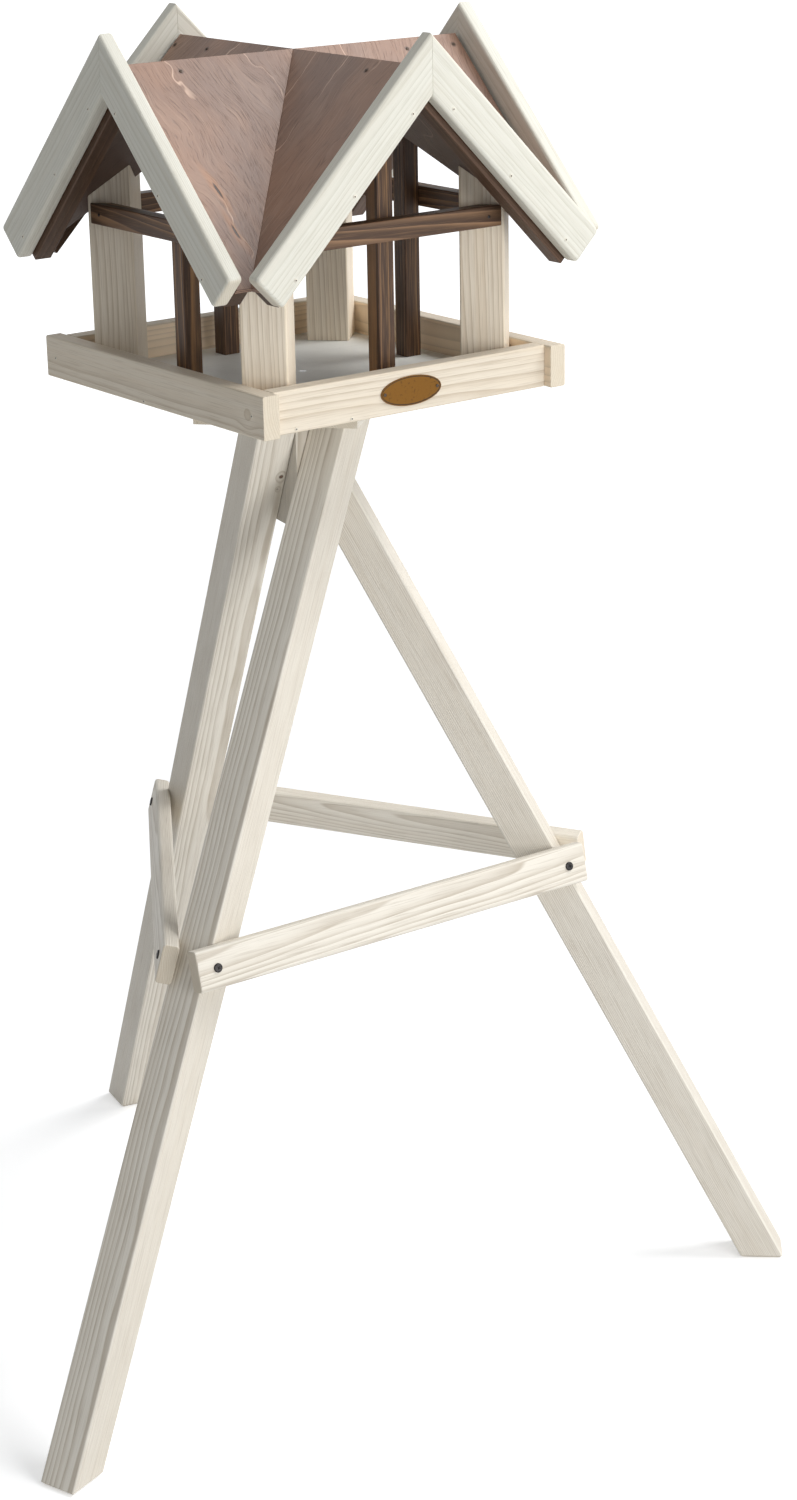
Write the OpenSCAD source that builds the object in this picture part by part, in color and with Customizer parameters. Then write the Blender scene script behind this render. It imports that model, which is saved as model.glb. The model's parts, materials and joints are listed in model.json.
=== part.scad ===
// Bird feeding house with a cross-gabled roof on a three-legged stand.
// Millimetres, +Z up, ground at z = 0, origin under the middle of the bounding box.
// The front gable looks along -Y, the gable beside it on the viewer's left along -X.

/* [Part to show] */
// Sub-part to draw on its own, or all of them

/* [Tray] */
// Outside width of the tray, along X
tray_width = 392; // [370:1:420]
// Outside depth of the tray, along Y, which is the length of the side boards
tray_depth = 418; // [400:1:440]
// Height of the four rim boards
rim_height = 45; // [35:1:60]
// Thickness of the four rim boards
rim_thickness = 20; // [16:1:20]
// Setback of the front and back boards from the ends of the side boards
rim_setback = 10; // [4:1:14]
// Thickness of the floor panel, which lies flush with the undersides of the rim
floor_thickness = 8; // [6:1:12]
// Radius of the eased edges of the rim boards
rim_edge_radius = 2; // [1:0.5:3]

/* [Posts and crossbars] */
// Side of the square corner posts
post_size = 48; // [40:1:48]
// Space between the corner posts' arrises and the side boards of the rim
post_clearance = 1; // [0.5:0.5:8]
// Radius of the eased arrises of the corner posts
post_edge_radius = 2; // [1:0.5:4]
// Side of the square centre posts
centre_post_size = 20; // [14:1:24]
// Distance of the crossbars' tops below the ridges
bar_drop = 158; // [150:1:200]
// Height of a crossbar
bar_height = 22; // [16:1:30]
// Thickness of a crossbar
bar_thickness = 18; // [14:1:20]
// Setback of the crossbars' outer faces from the corner posts' arrises
bar_setback = 2; // [1:0.5:4]

/* [Roof] */
// Height of the ridges above the underside of the tray
ridge_height = 353; // [335:1:380]
// Slope of the roof in degrees
roof_slope = 45; // [43:1:48]
// Thickness of the plywood
ply_thickness = 7; // [4:0.5:9]
// Distance of the plywood's gable edges past the corner posts' arrises
roof_overhang = 41; // [30:1:60]
// Gap between the plywood's gable edge and the back of the bargeboard
gable_gap = 4; // [1:0.5:8]
// Width of the bargeboards, across the slope
bargeboard_width = 44; // [36:1:50]
// Thickness of the bargeboards
bargeboard_thickness = 18; // [14:1:18]
// Height of the bargeboards' top edges above the plywood, across the slope
bargeboard_rise = 23; // [14:1:25]
// Distance that a bargeboard's lower end keeps clear of the next gable's bargeboard
bargeboard_clearance = 1; // [0.5:0.5:20]
// Radius of the rounded long edges of the bargeboards
bargeboard_edge_radius = 4; // [1:0.5:6]
// Radius of the rounded lower corners of the bargeboards
bargeboard_corner_radius = 5; // [2:0.5:8]
// Side of the square battens behind the bargeboards
batten_size = 20; // [14:1:22]
// Distance that the battens stop short of the bargeboards' lower ends, down the slope
batten_setback = 4; // [3:1:20]

/* [Name plate] */
// Length of the bare oval plate on the front board
label_length = 78; // [60:1:90]
// Height of the oval plate
label_height = 31; // [24:1:36]
// Thickness of the oval plate
label_thickness = 1.2; // [0.8:0.1:2]
// Sideways position of the plate's middle
label_x = -4; // [-40:1:40]
// Distance of the plate's pins from its ends
label_pin_inset = 5; // [4:0.5:8]
// Length of the plate's pins
label_pin_length = 8; // [6:0.5:12]

/* [Stand] */
// Height of the tray's underside above the ground
tray_level = 1064; // [980:1:1150]
// Side of the square legs
leg_size = 45; // [40:1:50]
// Distance of a leg's centre line from the stand's axis at the ground, along the leg's direction
leg_reach = 524; // [480:1:560]
// The same distance at the level of the tray, where the leg has passed the axis
leg_start = -34; // [-40:1:-28]
// Direction of the first leg, in degrees from +X
stand_turn = 199; // [195:1:205]
// Sideways position of the stand's axis under the house
stand_x = -20; // [-30:1:0]
// Position of the stand's axis under the house, along Y
stand_y = -20; // [-30:1:0]
// Radius of the eased edges of the legs
leg_edge_radius = 2.5; // [1:0.5:5]
// Size of the small chamfer round each foot
foot_chamfer = 4; // [2:0.5:6]
// Distance of the core block's three faces from the stand's axis
core_inradius = 21.5; // [19:0.5:24]
// Length of the core block under the top plate
core_length = 132; // [100:1:160]
// Width of the stand's top plate
top_plate_width = 176; // [160:1:200]
// Length of the stand's top plate
top_plate_length = 230; // [200:1:250]
// Thickness of the stand's top plate
top_plate_thickness = 18; // [15:1:22]
// Direction of the top plate's short side, in degrees from +X
top_plate_turn = -48; // [-55:1:-40]

/* [Braces] */
// Height of the braces' middle above the ground
brace_level = 503; // [460:1:560]
// Width of a brace, up its face
brace_width = 45; // [38:1:50]
// Thickness of a brace
brace_thickness = 18; // [15:1:22]
// Length of a brace past each leg corner that it is seated on
brace_overhang = 20; // [16:1:26]
// Inward tilt of the braces' faces in degrees
brace_tilt = 15; // [14:0.5:16]
// Depth of the flats on the legs' corners that seat the braces
brace_seat_depth = 2; // [2:0.5:3]
// Radius of the rounded edges of the braces
brace_edge_radius = 4; // [2:0.5:6]

/* [Fasteners] */
// Shank diameter of the round nails
nail_shank = 2; // [1.6:0.1:2.2]
// Head diameter of the round nails
nail_head = 3.6; // [3:0.1:4]
// Height that a nail head stands proud
nail_head_height = 0.6; // [0.4:0.1:1]
// Length of the bargeboard nails
bargeboard_nail_length = 30; // [26:1:34]
// Number of nails in a bargeboard
bargeboard_nail_count = 3; // [2:1:5]
// Distance of the first bargeboard nail from the gable's top, down the bargeboard's top edge
bargeboard_nail_top = 72; // [66:1:100]
// Distance of the last bargeboard nail from the bargeboard's lower end
bargeboard_nail_bottom = 30; // [20:1:60]
// Length of the roof nails
roof_nail_length = 14; // [11:1:14]
// Length of the crossbar nails
bar_nail_length = 27; // [24:1:30]
// Distance of the crossbar nails from the outer ends of the bar
bar_nail_inset = 17; // [16:0.5:18]
// Length of the rim nails
rim_nail_length = 32; // [28:1:35]
// Places of the front board's lower nails, as shares of half the board's length
rim_nail_shares = [0.85, 0.455];
// Distance of the side boards' lower nails from the middle of the board
rim_nail_offset = 12; // [0:1:100]
// Sideways place of the screw that holds the tray to the stand
tray_screw_x = 7; // [0:1:12]
// Place of the same screw along Y
tray_screw_y = 9; // [0:1:12]
// Head diameter of the brace screws
pan_head = 10; // [8:0.5:11]
// Height of the heads of the brace screws
pan_head_height = 2; // [1.5:0.1:3]
// Shank diameter of the brace screws
pan_shank = 5; // [4:0.1:5.5]
// Length of the brace screws
brace_screw_length = 45; // [35:1:50]
// Distance of the brace screws from the ends of the brace
brace_screw_inset = 24; // [20:1:26]
// Head diameter of the countersunk screws
sunk_head = 8; // [7:0.5:9]
// Shank diameter of the countersunk screws
sunk_shank = 4; // [3.5:0.1:4.5]
// Length of the countersunk screws in the floor panel
floor_screw_length = 25; // [20:1:25]
// Length of the countersunk screws from the top plate into the legs
plate_screw_length = 45; // [35:1:50]
// Length of the countersunk screws from the top plate into the core block
core_screw_length = 50; // [40:1:60]
// Distance of the core screws from the stand's axis
core_screw_radial = 14; // [11:1:18]
// Radial clearance of a shank in its hole
hole_clearance = 0.1; // [0.05:0.05:0.2]

/* [Hidden] */

// Colours, as in the photograph
glazed_pine = [0.87, 0.85, 0.79];
weathered_pine = [0.78, 0.75, 0.69];
stained_pine = [0.25, 0.17, 0.13];
brown_plywood = [0.55, 0.40, 0.35];
pale_floor = [0.80, 0.80, 0.78];
bronze = [0.55, 0.42, 0.22];
bright_steel = [0.65, 0.65, 0.66];
dark_steel = [0.14, 0.13, 0.13];

// Turns of the four gables about the house
front_turn = 0;
right_turn = 90;
back_turn = 180;
left_turn = 270;
gable_turns = [front_turn, right_turn, back_turn, left_turn];

// Parts of a full turn
eighth_turn = 45;
quarter_turn = 90;
third_turn = 120;
half_turn = 180;
full_turn = 360;

// A length that is longer than anything in the object, for cutting shapes
reach_all = 2 * (tray_level + ridge_height);
// Overlap of a cutting shape past the face that it leaves
past = 1;

// Tray
inner_half_width = tray_width / 2 - rim_thickness;
front_face = tray_depth / 2 - rim_setback;
inner_half_depth = front_face - rim_thickness;

// Posts
post_half_diagonal = post_size / sqrt(2);
post_arris = min(inner_half_width, inner_half_depth) - post_clearance;
post_centre = post_arris - post_half_diagonal;
bar_top = ridge_height - bar_drop;
bar_face = post_arris - bar_setback;
bar_nail_offset = post_centre - bar_setback - bar_nail_inset;
centre_post_position = bar_face - bar_thickness - centre_post_size / 2;

// Roof: u runs down the slope from the ridge, v stands square to it, 0 on the plywood's face
ply_reach = post_arris + roof_overhang;
ply_drop = ply_thickness / cos(roof_slope);
bargeboard_back = ply_reach + gable_gap;
gable_reach = bargeboard_back + bargeboard_thickness;
bargeboard_span = bargeboard_back - bargeboard_clearance;
bargeboard_end = (bargeboard_span - bargeboard_rise * sin(roof_slope)) / cos(roof_slope);
batten_end = bargeboard_end - batten_setback;
nail_v = -ply_thickness - 0.3 * batten_size;
apex_u = -bargeboard_rise * tan(roof_slope);

// Bargeboard nails, spread evenly between the first and the last
bargeboard_nail_span = bargeboard_end - apex_u - bargeboard_nail_top - bargeboard_nail_bottom;
bargeboard_nail_steps = [
    for (i = [0:bargeboard_nail_count - 1])
        bargeboard_nail_top + bargeboard_nail_span * i / (bargeboard_nail_count - 1)
];

// Roof nails: one into the centre post, one into the batten, both close to the ridge
roof_nail_drop = 0.75 * centre_post_size;
roof_nail_stagger = 0.15 * centre_post_size;
roof_nail_into_batten = ply_reach - 0.4 * batten_size;

// Oval name plate, and how many points its outline has
label_half_length = label_length / 2;
label_half_height = label_height / 2;
label_steps = 72;
label_pin_x = label_half_length - label_pin_inset;

// Legs: each lies beside the stand's axis, so that its inner face is flat on the core block
leg_lean = atan((leg_reach - leg_start) / tray_level);
leg_offset = core_inradius + leg_size / 2;
leg_half_level = leg_size / (2 * cos(leg_lean));
leg_top = tray_level - top_plate_thickness;
core_side_radius = 2 * core_inradius;

// Braces: the back face runs through the nearest corners of two neighbouring legs
brace_radial = leg_reach + (leg_start - leg_reach) * brace_level / tray_level + leg_half_level;
brace_near_corner = [brace_radial, leg_offset + leg_size / 2];
brace_far_corner = [
    brace_radial * cos(third_turn) - (leg_offset - leg_size / 2) * sin(third_turn),
    brace_radial * sin(third_turn) + (leg_offset - leg_size / 2) * cos(third_turn)
];
brace_chord = brace_far_corner - brace_near_corner;
brace_middle = (brace_near_corner + brace_far_corner) / 2;
brace_azimuth = atan2(brace_chord[1], brace_chord[0]) - quarter_turn;
brace_length = norm(brace_chord) + 2 * brace_overhang;

// Feet: how far the object reaches along each axis, and so where the origin lies
function leg_direction(k) = stand_turn + third_turn * k;
function foot_x(k) = foot_radial() * cos(leg_direction(k)) - leg_offset * sin(leg_direction(k));
function foot_y(k) = foot_radial() * sin(leg_direction(k)) + leg_offset * cos(leg_direction(k));
function foot_radial() = leg_reach - foot_chamfer * tan(leg_lean);
function foot_extent(k, angle) = foot_extent_along(
    abs(cos(angle - leg_direction(k))) / cos(leg_lean),
    abs(sin(angle - leg_direction(k)))
);
function foot_extent_along(radial, tangential) =
    (leg_size / 2 - leg_edge_radius) * (radial + tangential)
    + leg_edge_radius * norm([radial, tangential]);
function foot_middle_x() = (
    max([for (k = [0:2]) foot_x(k) + foot_extent(k, 0)])
    + min([for (k = [0:2]) foot_x(k) - foot_extent(k, 0)])
) / 2;
function foot_middle_y() = (
    max([for (k = [0:2]) foot_y(k) + foot_extent(k, quarter_turn)])
    + min([for (k = [0:2]) foot_y(k) - foot_extent(k, quarter_turn)])
) / 2;
stand_position = [-foot_middle_x(), -foot_middle_y(), 0];
house_position = stand_position + [-stand_x, -stand_y, tray_level];

// Shared shapes

// Rectangle about the origin with rounded corners
module rounded_rectangle(width, height, radius) {
    square([width - 2 * radius, height], center = true);
    square([width, height - 2 * radius], center = true);
    for (x = [-1, 1]) {
        for (y = [-1, 1]) {
            translate([x * (width / 2 - radius), y * (height / 2 - radius)])
                circle(r = radius);
        }
    }
}

// Stick along +X from the origin, with its long edges rounded
module stick_along_x(length, depth, height, radius) {
    rotate([quarter_turn, 0, quarter_turn])
        linear_extrude(height = length)
            rounded_rectangle(depth, height, radius);
}

// Round nail with its head's underside at the origin, driven along -Z
module nail(length) {
    translate([0, 0, -length])
        cylinder(d = nail_shank, h = length);
    cylinder(d = nail_head, h = nail_head_height);
}

// Hole for a round nail
module nail_hole(length) {
    translate([0, 0, -length])
        cylinder(d = nail_shank + 2 * hole_clearance, h = length + past);
}

// Screw with a flat round head on the surface, driven along -Z
module pan_screw(length) {
    translate([0, 0, -length])
        cylinder(d = pan_shank, h = length);
    cylinder(d = pan_head, h = pan_head_height);
}

// Hole for such a screw
module pan_screw_hole(length) {
    translate([0, 0, -length])
        cylinder(d = pan_shank + 2 * hole_clearance, h = length + past);
}

// Countersunk screw with its head flush with z = 0, driven along -Z
module sunk_screw(length) {
    cone_height = (sunk_head - sunk_shank) / 2;
    translate([0, 0, -length])
        cylinder(d = sunk_shank, h = length);
    translate([0, 0, -cone_height])
        cylinder(d1 = sunk_shank, d2 = sunk_head, h = cone_height);
}

// Hole and countersink for such a screw
module sunk_screw_hole(length) {
    cone_height = (sunk_head - sunk_shank) / 2;
    hole = sunk_shank + 2 * hole_clearance;
    translate([0, 0, -length])
        cylinder(d = hole, h = length + past);
    translate([0, 0, -cone_height])
        cylinder(d1 = hole, d2 = sunk_head + 2 * hole_clearance, h = cone_height);
    cylinder(d = sunk_head + 2 * hole_clearance, h = past);
}

// Places

// Puts the house on the stand
module in_house() {
    translate(house_position)
        children();
}

// Puts a piece at the stand's axis
module in_stand() {
    translate(stand_position)
        children();
}

// Turns the front gable's piece to another gable, and mirrors it for the left half, half = -1
module at_gable(turn, half) {
    rotate([0, 0, turn])
        mirror([half < 0 ? 1 : 0, 0, 0])
            children();
}

// Lays a piece of the right half on the slope: +X down the slope, +Z square to the roof
module on_slope() {
    translate([0, 0, ridge_height])
        rotate([0, roof_slope, 0])
            children();
}

// Turns a piece of the first leg to another leg
module at_leg(k) {
    rotate([0, 0, leg_direction(k)])
        children();
}

// Everything to the right of the gable's middle plane
module right_side_only() {
    translate([0, -reach_all / 2, -reach_all / 2])
        cube([reach_all, reach_all, reach_all]);
}

// The space under the plywood, with both ridges
module under_roof() {
    for (turn = [0, quarter_turn]) {
        rotate([0, 0, turn])
            rotate([quarter_turn, 0, 0])
                linear_extrude(height = 2 * ply_reach, center = true)
                    polygon([
                        [-ply_reach, 0],
                        [ply_reach, 0],
                        [ply_reach, ridge_height - ply_drop - ply_reach * tan(roof_slope)],
                        [0, ridge_height - ply_drop],
                        [-ply_reach, ridge_height - ply_drop - ply_reach * tan(roof_slope)]
                    ]);
    }
}

// Tray

// Places of the nails through the rim: [x, y, z, turn about Z of the driving direction]
function rim_nail_places() = [
    for (x = [-1, 1]) for (y = [-1, 1])
        [x * tray_width / 2, y * (front_face - rim_thickness / 2), rim_height / 2, x],
    for (x = [-1, 1])
        [x * tray_width / 2, -x * rim_nail_offset, floor_thickness / 2, x]
];
function rim_front_nail_places() = [
    for (share = rim_nail_shares, y = [-1, 1])
        [y * share * inner_half_width, y * front_face, floor_thickness / 2, y]
];

// Nails through the rim, driven inwards from its outer faces
module at_rim_nails() {
    for (place = rim_nail_places()) {
        translate([place[0], place[1], place[2]])
            rotate([0, place[3] * quarter_turn, 0])
                children();
    }
    for (place = rim_front_nail_places()) {
        translate([place[0], place[1], place[2]])
            rotate([-place[3] * quarter_turn, 0, 0])
                children();
    }
}

module rim_nails() {
    color(bright_steel)
        in_house()
            at_rim_nails()
                nail(rim_nail_length);
}

module rim_nail_holes() {
    at_rim_nails()
        nail_hole(rim_nail_length);
}

// Places of the screws up through the floor panel, into the eight posts
function floor_screw_places() = [
    for (x = [-1, 1]) for (y = [-1, 1]) [x * post_centre, y * post_centre],
    for (s = [-1, 1]) [0, s * centre_post_position],
    for (s = [-1, 1]) [s * centre_post_position, 0]
];

module at_floor_screws() {
    for (place = floor_screw_places()) {
        translate(place)
            rotate([half_turn, 0, 0])
                children();
    }
    translate([tray_screw_x, tray_screw_y, floor_thickness])
        children();
}

module floor_screws() {
    color(bright_steel)
        in_house()
            at_floor_screws()
                sunk_screw(floor_screw_length);
}

module floor_screw_holes() {
    at_floor_screws()
        sunk_screw_hole(floor_screw_length);
}

module floor_panel() {
    color(pale_floor)
        in_house()
            difference() {
                translate([-inner_half_width, -inner_half_depth, 0])
                    cube([2 * inner_half_width, 2 * inner_half_depth, floor_thickness]);
                floor_screw_holes();
                rim_nail_holes();
            }
}

module rim_end_board(side) {
    in_house()
        difference() {
            translate([
                -inner_half_width,
                side * (front_face - rim_thickness / 2),
                rim_height / 2
            ])
                stick_along_x(2 * inner_half_width, rim_thickness, rim_height, rim_edge_radius);
            rim_nail_holes();
            if (side < 0) {
                at_label()
                    label_pin_holes();
            }
        }
}

module rim_side_board(side) {
    in_house()
        difference() {
            translate([side * (inner_half_width + rim_thickness / 2), -tray_depth / 2, rim_height / 2])
                rotate([0, 0, quarter_turn])
                    stick_along_x(tray_depth, rim_thickness, rim_height, rim_edge_radius);
            rim_nail_holes();
        }
}

module rim_front() {
    color(glazed_pine)
        rim_end_board(-1);
}

module rim_back() {
    color(glazed_pine)
        rim_end_board(1);
}

module rim_left() {
    color(glazed_pine)
        rim_side_board(-1);
}

module rim_right() {
    color(glazed_pine)
        rim_side_board(1);
}

// Name plate

// Moves a flat drawing in X and Y onto the outside of the front board, standing up
module at_label() {
    translate([label_x, -front_face, rim_height / 2])
        rotate([quarter_turn, 0, 0])
            children();
}

module oval() {
    polygon([
        for (step = [0:label_steps - 1])
            [
                label_half_length * cos(step * full_turn / label_steps),
                label_half_height * sin(step * full_turn / label_steps)
            ]
    ]);
}

module at_label_pins() {
    for (side = [-1, 1]) {
        translate([side * label_pin_x, 0, label_thickness])
            children();
    }
}

module label_pin_holes() {
    at_label_pins()
        nail_hole(label_pin_length);
}

module name_plate() {
    color(bronze)
        in_house()
            at_label()
                difference() {
                    linear_extrude(height = label_thickness)
                        oval();
                    label_pin_holes();
                }
}

module name_plate_pins() {
    color(bronze)
        in_house()
            at_label()
                at_label_pins()
                    nail(label_pin_length);
}

// Posts and crossbars

// Square corner post, turned so that its arrises point along X and Y
module corner_post_stick(radius) {
    translate([post_centre, -post_centre, 0])
        rotate([0, 0, eighth_turn])
            linear_extrude(height = ridge_height)
                rounded_rectangle(post_size, post_size, radius);
}

// Nails near both ends of the front crossbar, driven along +Y
module at_bar_nails() {
    for (side = [-1, 1]) {
        translate([side * bar_nail_offset, -bar_face, bar_top - bar_height / 2])
            rotate([quarter_turn, 0, 0])
                children();
    }
}

module bar_nail_holes() {
    at_bar_nails()
        nail_hole(bar_nail_length);
}

module bar_nails() {
    color(dark_steel)
        in_house()
            for (turn = gable_turns) {
                rotate([0, 0, turn])
                    at_bar_nails()
                        nail(bar_nail_length);
            }
}

// Corner post to the right of a gable, from the floor to the valley of the roof
module corner_post(turn) {
    color(glazed_pine)
        in_house()
            rotate([0, 0, turn])
                difference() {
                    intersection() {
                        corner_post_stick(post_edge_radius);
                        under_roof();
                        translate([0, -reach_all, floor_thickness])
                            cube([reach_all, reach_all, reach_all]);
                    }
                    bar_nail_holes();
                    rotate([0, 0, quarter_turn])
                        bar_nail_holes();
                    rotate([0, 0, -turn])
                        floor_screw_holes();
                }
}

// Thin post behind the middle of a crossbar, from the floor to the ridge
module centre_post(turn) {
    color(stained_pine)
        in_house()
            rotate([0, 0, turn])
                difference() {
                    intersection() {
                        translate([
                            -centre_post_size / 2,
                            -centre_post_position - centre_post_size / 2,
                            floor_thickness
                        ])
                            cube([centre_post_size, centre_post_size, ridge_height]);
                        under_roof();
                    }
                    rotate([0, 0, -turn])
                        floor_screw_holes();
                    for (half = [-1, 1]) {
                        at_gable(front_turn, half)
                            at_roof_nails(half)
                                nail_hole(roof_nail_length);
                    }
                }
}

// Crossbar with its ends mitred against the faces of the two corner posts
module crossbar(turn) {
    color(stained_pine)
        in_house()
            rotate([0, 0, turn])
                difference() {
                    translate([-post_centre, -bar_face, bar_top - bar_height])
                        cube([2 * post_centre, bar_thickness, bar_height]);
                    for (half = [0, 1]) {
                        mirror([half, 0, 0])
                            corner_post_stick(post_edge_radius);
                    }
                    bar_nail_holes();
                }
}

// Roof

// Nails through the plywood beside the ridge, staggered so that the two halves' nails pass
module at_roof_nails(half) {
    for (distance = [centre_post_position, roof_nail_into_batten]) {
        on_slope()
            translate([roof_nail_drop, -distance - half * roof_nail_stagger, 0])
                children();
    }
}

module roof_nails() {
    color(bright_steel)
        in_house()
            for (turn = gable_turns, half = [-1, 1]) {
                at_gable(turn, half)
                    at_roof_nails(half)
                        nail(roof_nail_length);
            }
}

// Plywood panel from the ridge to the valley, mitred square up and down at both,
// with its lowest corner cut off level with the battens' ends
module roof_panel(turn, half) {
    color(brown_plywood)
        in_house()
            at_gable(turn, half)
                difference() {
                    intersection() {
                        on_slope()
                            translate([-ply_reach, -ply_reach, -ply_thickness])
                                cube([ply_reach + batten_end, 2 * ply_reach, ply_thickness]);
                        linear_extrude(height = ridge_height)
                            polygon([[0, 0], [0, -ply_reach], [ply_reach, -ply_reach]]);
                    }
                    at_roof_nails(half)
                        nail_hole(roof_nail_length);
                }
}

// Nails through the bargeboard into the batten behind it
module at_bargeboard_nails() {
    for (step = bargeboard_nail_steps) {
        on_slope()
            translate([apex_u + step, -gable_reach, nail_v])
                rotate([quarter_turn, 0, 0])
                    children();
    }
}

module bargeboard_nail_holes() {
    at_bargeboard_nails()
        nail_hole(bargeboard_nail_length);
}

module bargeboard_nails() {
    color(bright_steel)
        in_house()
            for (turn = gable_turns, half = [-1, 1]) {
                at_gable(turn, half)
                    at_bargeboard_nails()
                        nail(bargeboard_nail_length);
            }
}

// Batten under the plywood's gable edge, against the back of the bargeboard
module batten(turn, half) {
    color(stained_pine)
        in_house()
            at_gable(turn, half)
                difference() {
                    intersection() {
                        on_slope()
                            translate([-ply_reach, -bargeboard_back, -ply_thickness - batten_size])
                                cube([ply_reach + batten_end, batten_size, batten_size]);
                        right_side_only();
                    }
                    bargeboard_nail_holes();
                    at_roof_nails(half)
                        nail_hole(roof_nail_length);
                }
}

// Bargeboard with rounded edges, mitred at the top and square to the slope at its end
module bargeboard(turn, half) {
    middle_v = bargeboard_rise - bargeboard_width / 2;
    full_length = ply_reach + bargeboard_end;
    color(glazed_pine)
        in_house()
            at_gable(turn, half)
                difference() {
                    intersection() {
                        on_slope()
                            translate([
                                -ply_reach,
                                -gable_reach + bargeboard_thickness / 2,
                                middle_v
                            ])
                                stick_along_x(
                                    full_length,
                                    bargeboard_thickness,
                                    bargeboard_width,
                                    bargeboard_edge_radius
                                );
                        on_slope()
                            translate([
                                bargeboard_end - full_length / 2,
                                -gable_reach + bargeboard_thickness / 2,
                                middle_v
                            ])
                                rotate([quarter_turn, 0, 0])
                                    linear_extrude(height = 2 * bargeboard_thickness, center = true)
                                        rounded_rectangle(
                                            full_length,
                                            bargeboard_width,
                                            bargeboard_corner_radius
                                        );
                        right_side_only();
                    }
                    bargeboard_nail_holes();
                }
}

// Stand

// Places of the plate screws, in the middle of each leg's top
plate_screw_radial = leg_start + top_plate_thickness * tan(leg_lean) + leg_half_level / 6;

module at_plate_screws() {
    for (k = [0:2]) {
        at_leg(k)
            translate([plate_screw_radial, leg_offset, tray_level])
                children();
    }
}

module plate_screws() {
    color(bright_steel)
        in_stand()
            at_plate_screws()
                sunk_screw(plate_screw_length);
}

module plate_screw_holes() {
    at_plate_screws()
        sunk_screw_hole(plate_screw_length);
}

// Places of the core screws, between the stand's axis and the corners of the core block
module at_core_screws() {
    for (k = [0:2]) {
        at_leg(k)
            rotate([0, 0, third_turn / 4])
                translate([core_screw_radial, 0, tray_level])
                    children();
    }
}

module core_screws() {
    color(bright_steel)
        in_stand()
            at_core_screws()
                sunk_screw(core_screw_length);
}

module core_screw_holes() {
    at_core_screws()
        sunk_screw_hole(core_screw_length);
}

// Board between the tray and the tops of the legs
module top_plate() {
    color(weathered_pine)
        in_stand()
            difference() {
                translate([0, 0, leg_top])
                    rotate([0, 0, top_plate_turn])
                        linear_extrude(height = top_plate_thickness)
                            square([top_plate_width, top_plate_length], center = true);
                plate_screw_holes();
                core_screw_holes();
                translate([-stand_x, -stand_y, tray_level])
                    floor_screw_holes();
            }
}

// Three-sided block that the legs' inner faces lie against
module core_block() {
    color(weathered_pine)
        in_stand()
            difference() {
                translate([0, 0, leg_top - core_length])
                    linear_extrude(height = core_length)
                        polygon([
                            for (k = [0:2])
                                core_side_radius * [
                                    cos(leg_direction(k) + third_turn / 4),
                                    sin(leg_direction(k) + third_turn / 4)
                                ]
                        ]);
                core_screw_holes();
            }
}

// Cuts the chamfer round the foot of the first leg
module foot_chamfer_cuts() {
    outer = foot_radial() + leg_half_level;
    inner = leg_reach - leg_half_level - foot_chamfer * tan(leg_lean);
    translate([outer, 0, foot_chamfer])
        rotate([0, eighth_turn, 0])
            translate([0, -reach_all / 2, -leg_size])
                cube([leg_size, reach_all, leg_size + foot_chamfer]);
    translate([inner, 0, foot_chamfer])
        rotate([0, -eighth_turn, 0])
            translate([-leg_size, -reach_all / 2, -leg_size])
                cube([leg_size, reach_all, leg_size]);
    for (side = [-1, 1]) {
        translate([0, leg_offset + side * leg_size / 2, foot_chamfer])
            rotate([-side * eighth_turn, 0, 0])
                translate([0, side < 0 ? -leg_size : 0, -leg_size])
                    cube([reach_all, leg_size, leg_size]);
    }
}

// Puts a piece on the brace between the first two legs:
// +X along the brace, +Y outwards from its back face, +Z up its face
module on_brace() {
    translate([brace_middle[0], brace_middle[1], brace_level])
        rotate([0, 0, brace_azimuth - quarter_turn])
            rotate([brace_tilt, 0, 0])
                translate([0, -brace_seat_depth, 0])
                    children();
}

// Flats on the legs' corners under the brace's back face
module brace_seat_cut() {
    on_brace()
        translate([-brace_length / 2 - past, 0, -brace_width / 2])
            cube([brace_length + 2 * past, 2 * brace_thickness, brace_width]);
}

module at_brace_screws() {
    for (side = [-1, 1]) {
        on_brace()
            translate([side * (brace_length / 2 - brace_screw_inset), brace_thickness, 0])
                rotate([-quarter_turn, 0, 0])
                    children();
    }
}

module brace_screws() {
    color(dark_steel)
        in_stand()
            for (k = [0:2]) {
                at_leg(k)
                    at_brace_screws()
                        pan_screw(brace_screw_length);
            }
}

module brace_screw_holes() {
    at_brace_screws()
        pan_screw_hole(brace_screw_length);
}

// Raked leg with its inner face on the core block and flats for two braces
module leg(k) {
    color(glazed_pine)
        in_stand()
            at_leg(k)
                difference() {
                    intersection() {
                        translate([leg_reach, leg_offset, 0])
                            rotate([0, -leg_lean, 0])
                                translate([0, 0, -leg_size])
                                    linear_extrude(height = reach_all)
                                        rounded_rectangle(leg_size, leg_size, leg_edge_radius);
                        translate([-reach_all / 2, -reach_all / 2, 0])
                            cube([reach_all, reach_all, leg_top]);
                    }
                    foot_chamfer_cuts();
                    for (turn = [0, -third_turn]) {
                        rotate([0, 0, turn]) {
                            brace_seat_cut();
                            brace_screw_holes();
                        }
                    }
                    rotate([0, 0, -leg_direction(k)])
                        plate_screw_holes();
                }
}

// Brace from one leg to the next, with rounded long edges
module brace(k) {
    color(glazed_pine)
        in_stand()
            at_leg(k)
                difference() {
                    on_brace()
                        translate([-brace_length / 2, brace_thickness / 2, 0])
                            stick_along_x(
                                brace_length,
                                brace_thickness,
                                brace_width,
                                brace_edge_radius
                            );
                    brace_screw_holes();
                }
}

// The object

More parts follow.
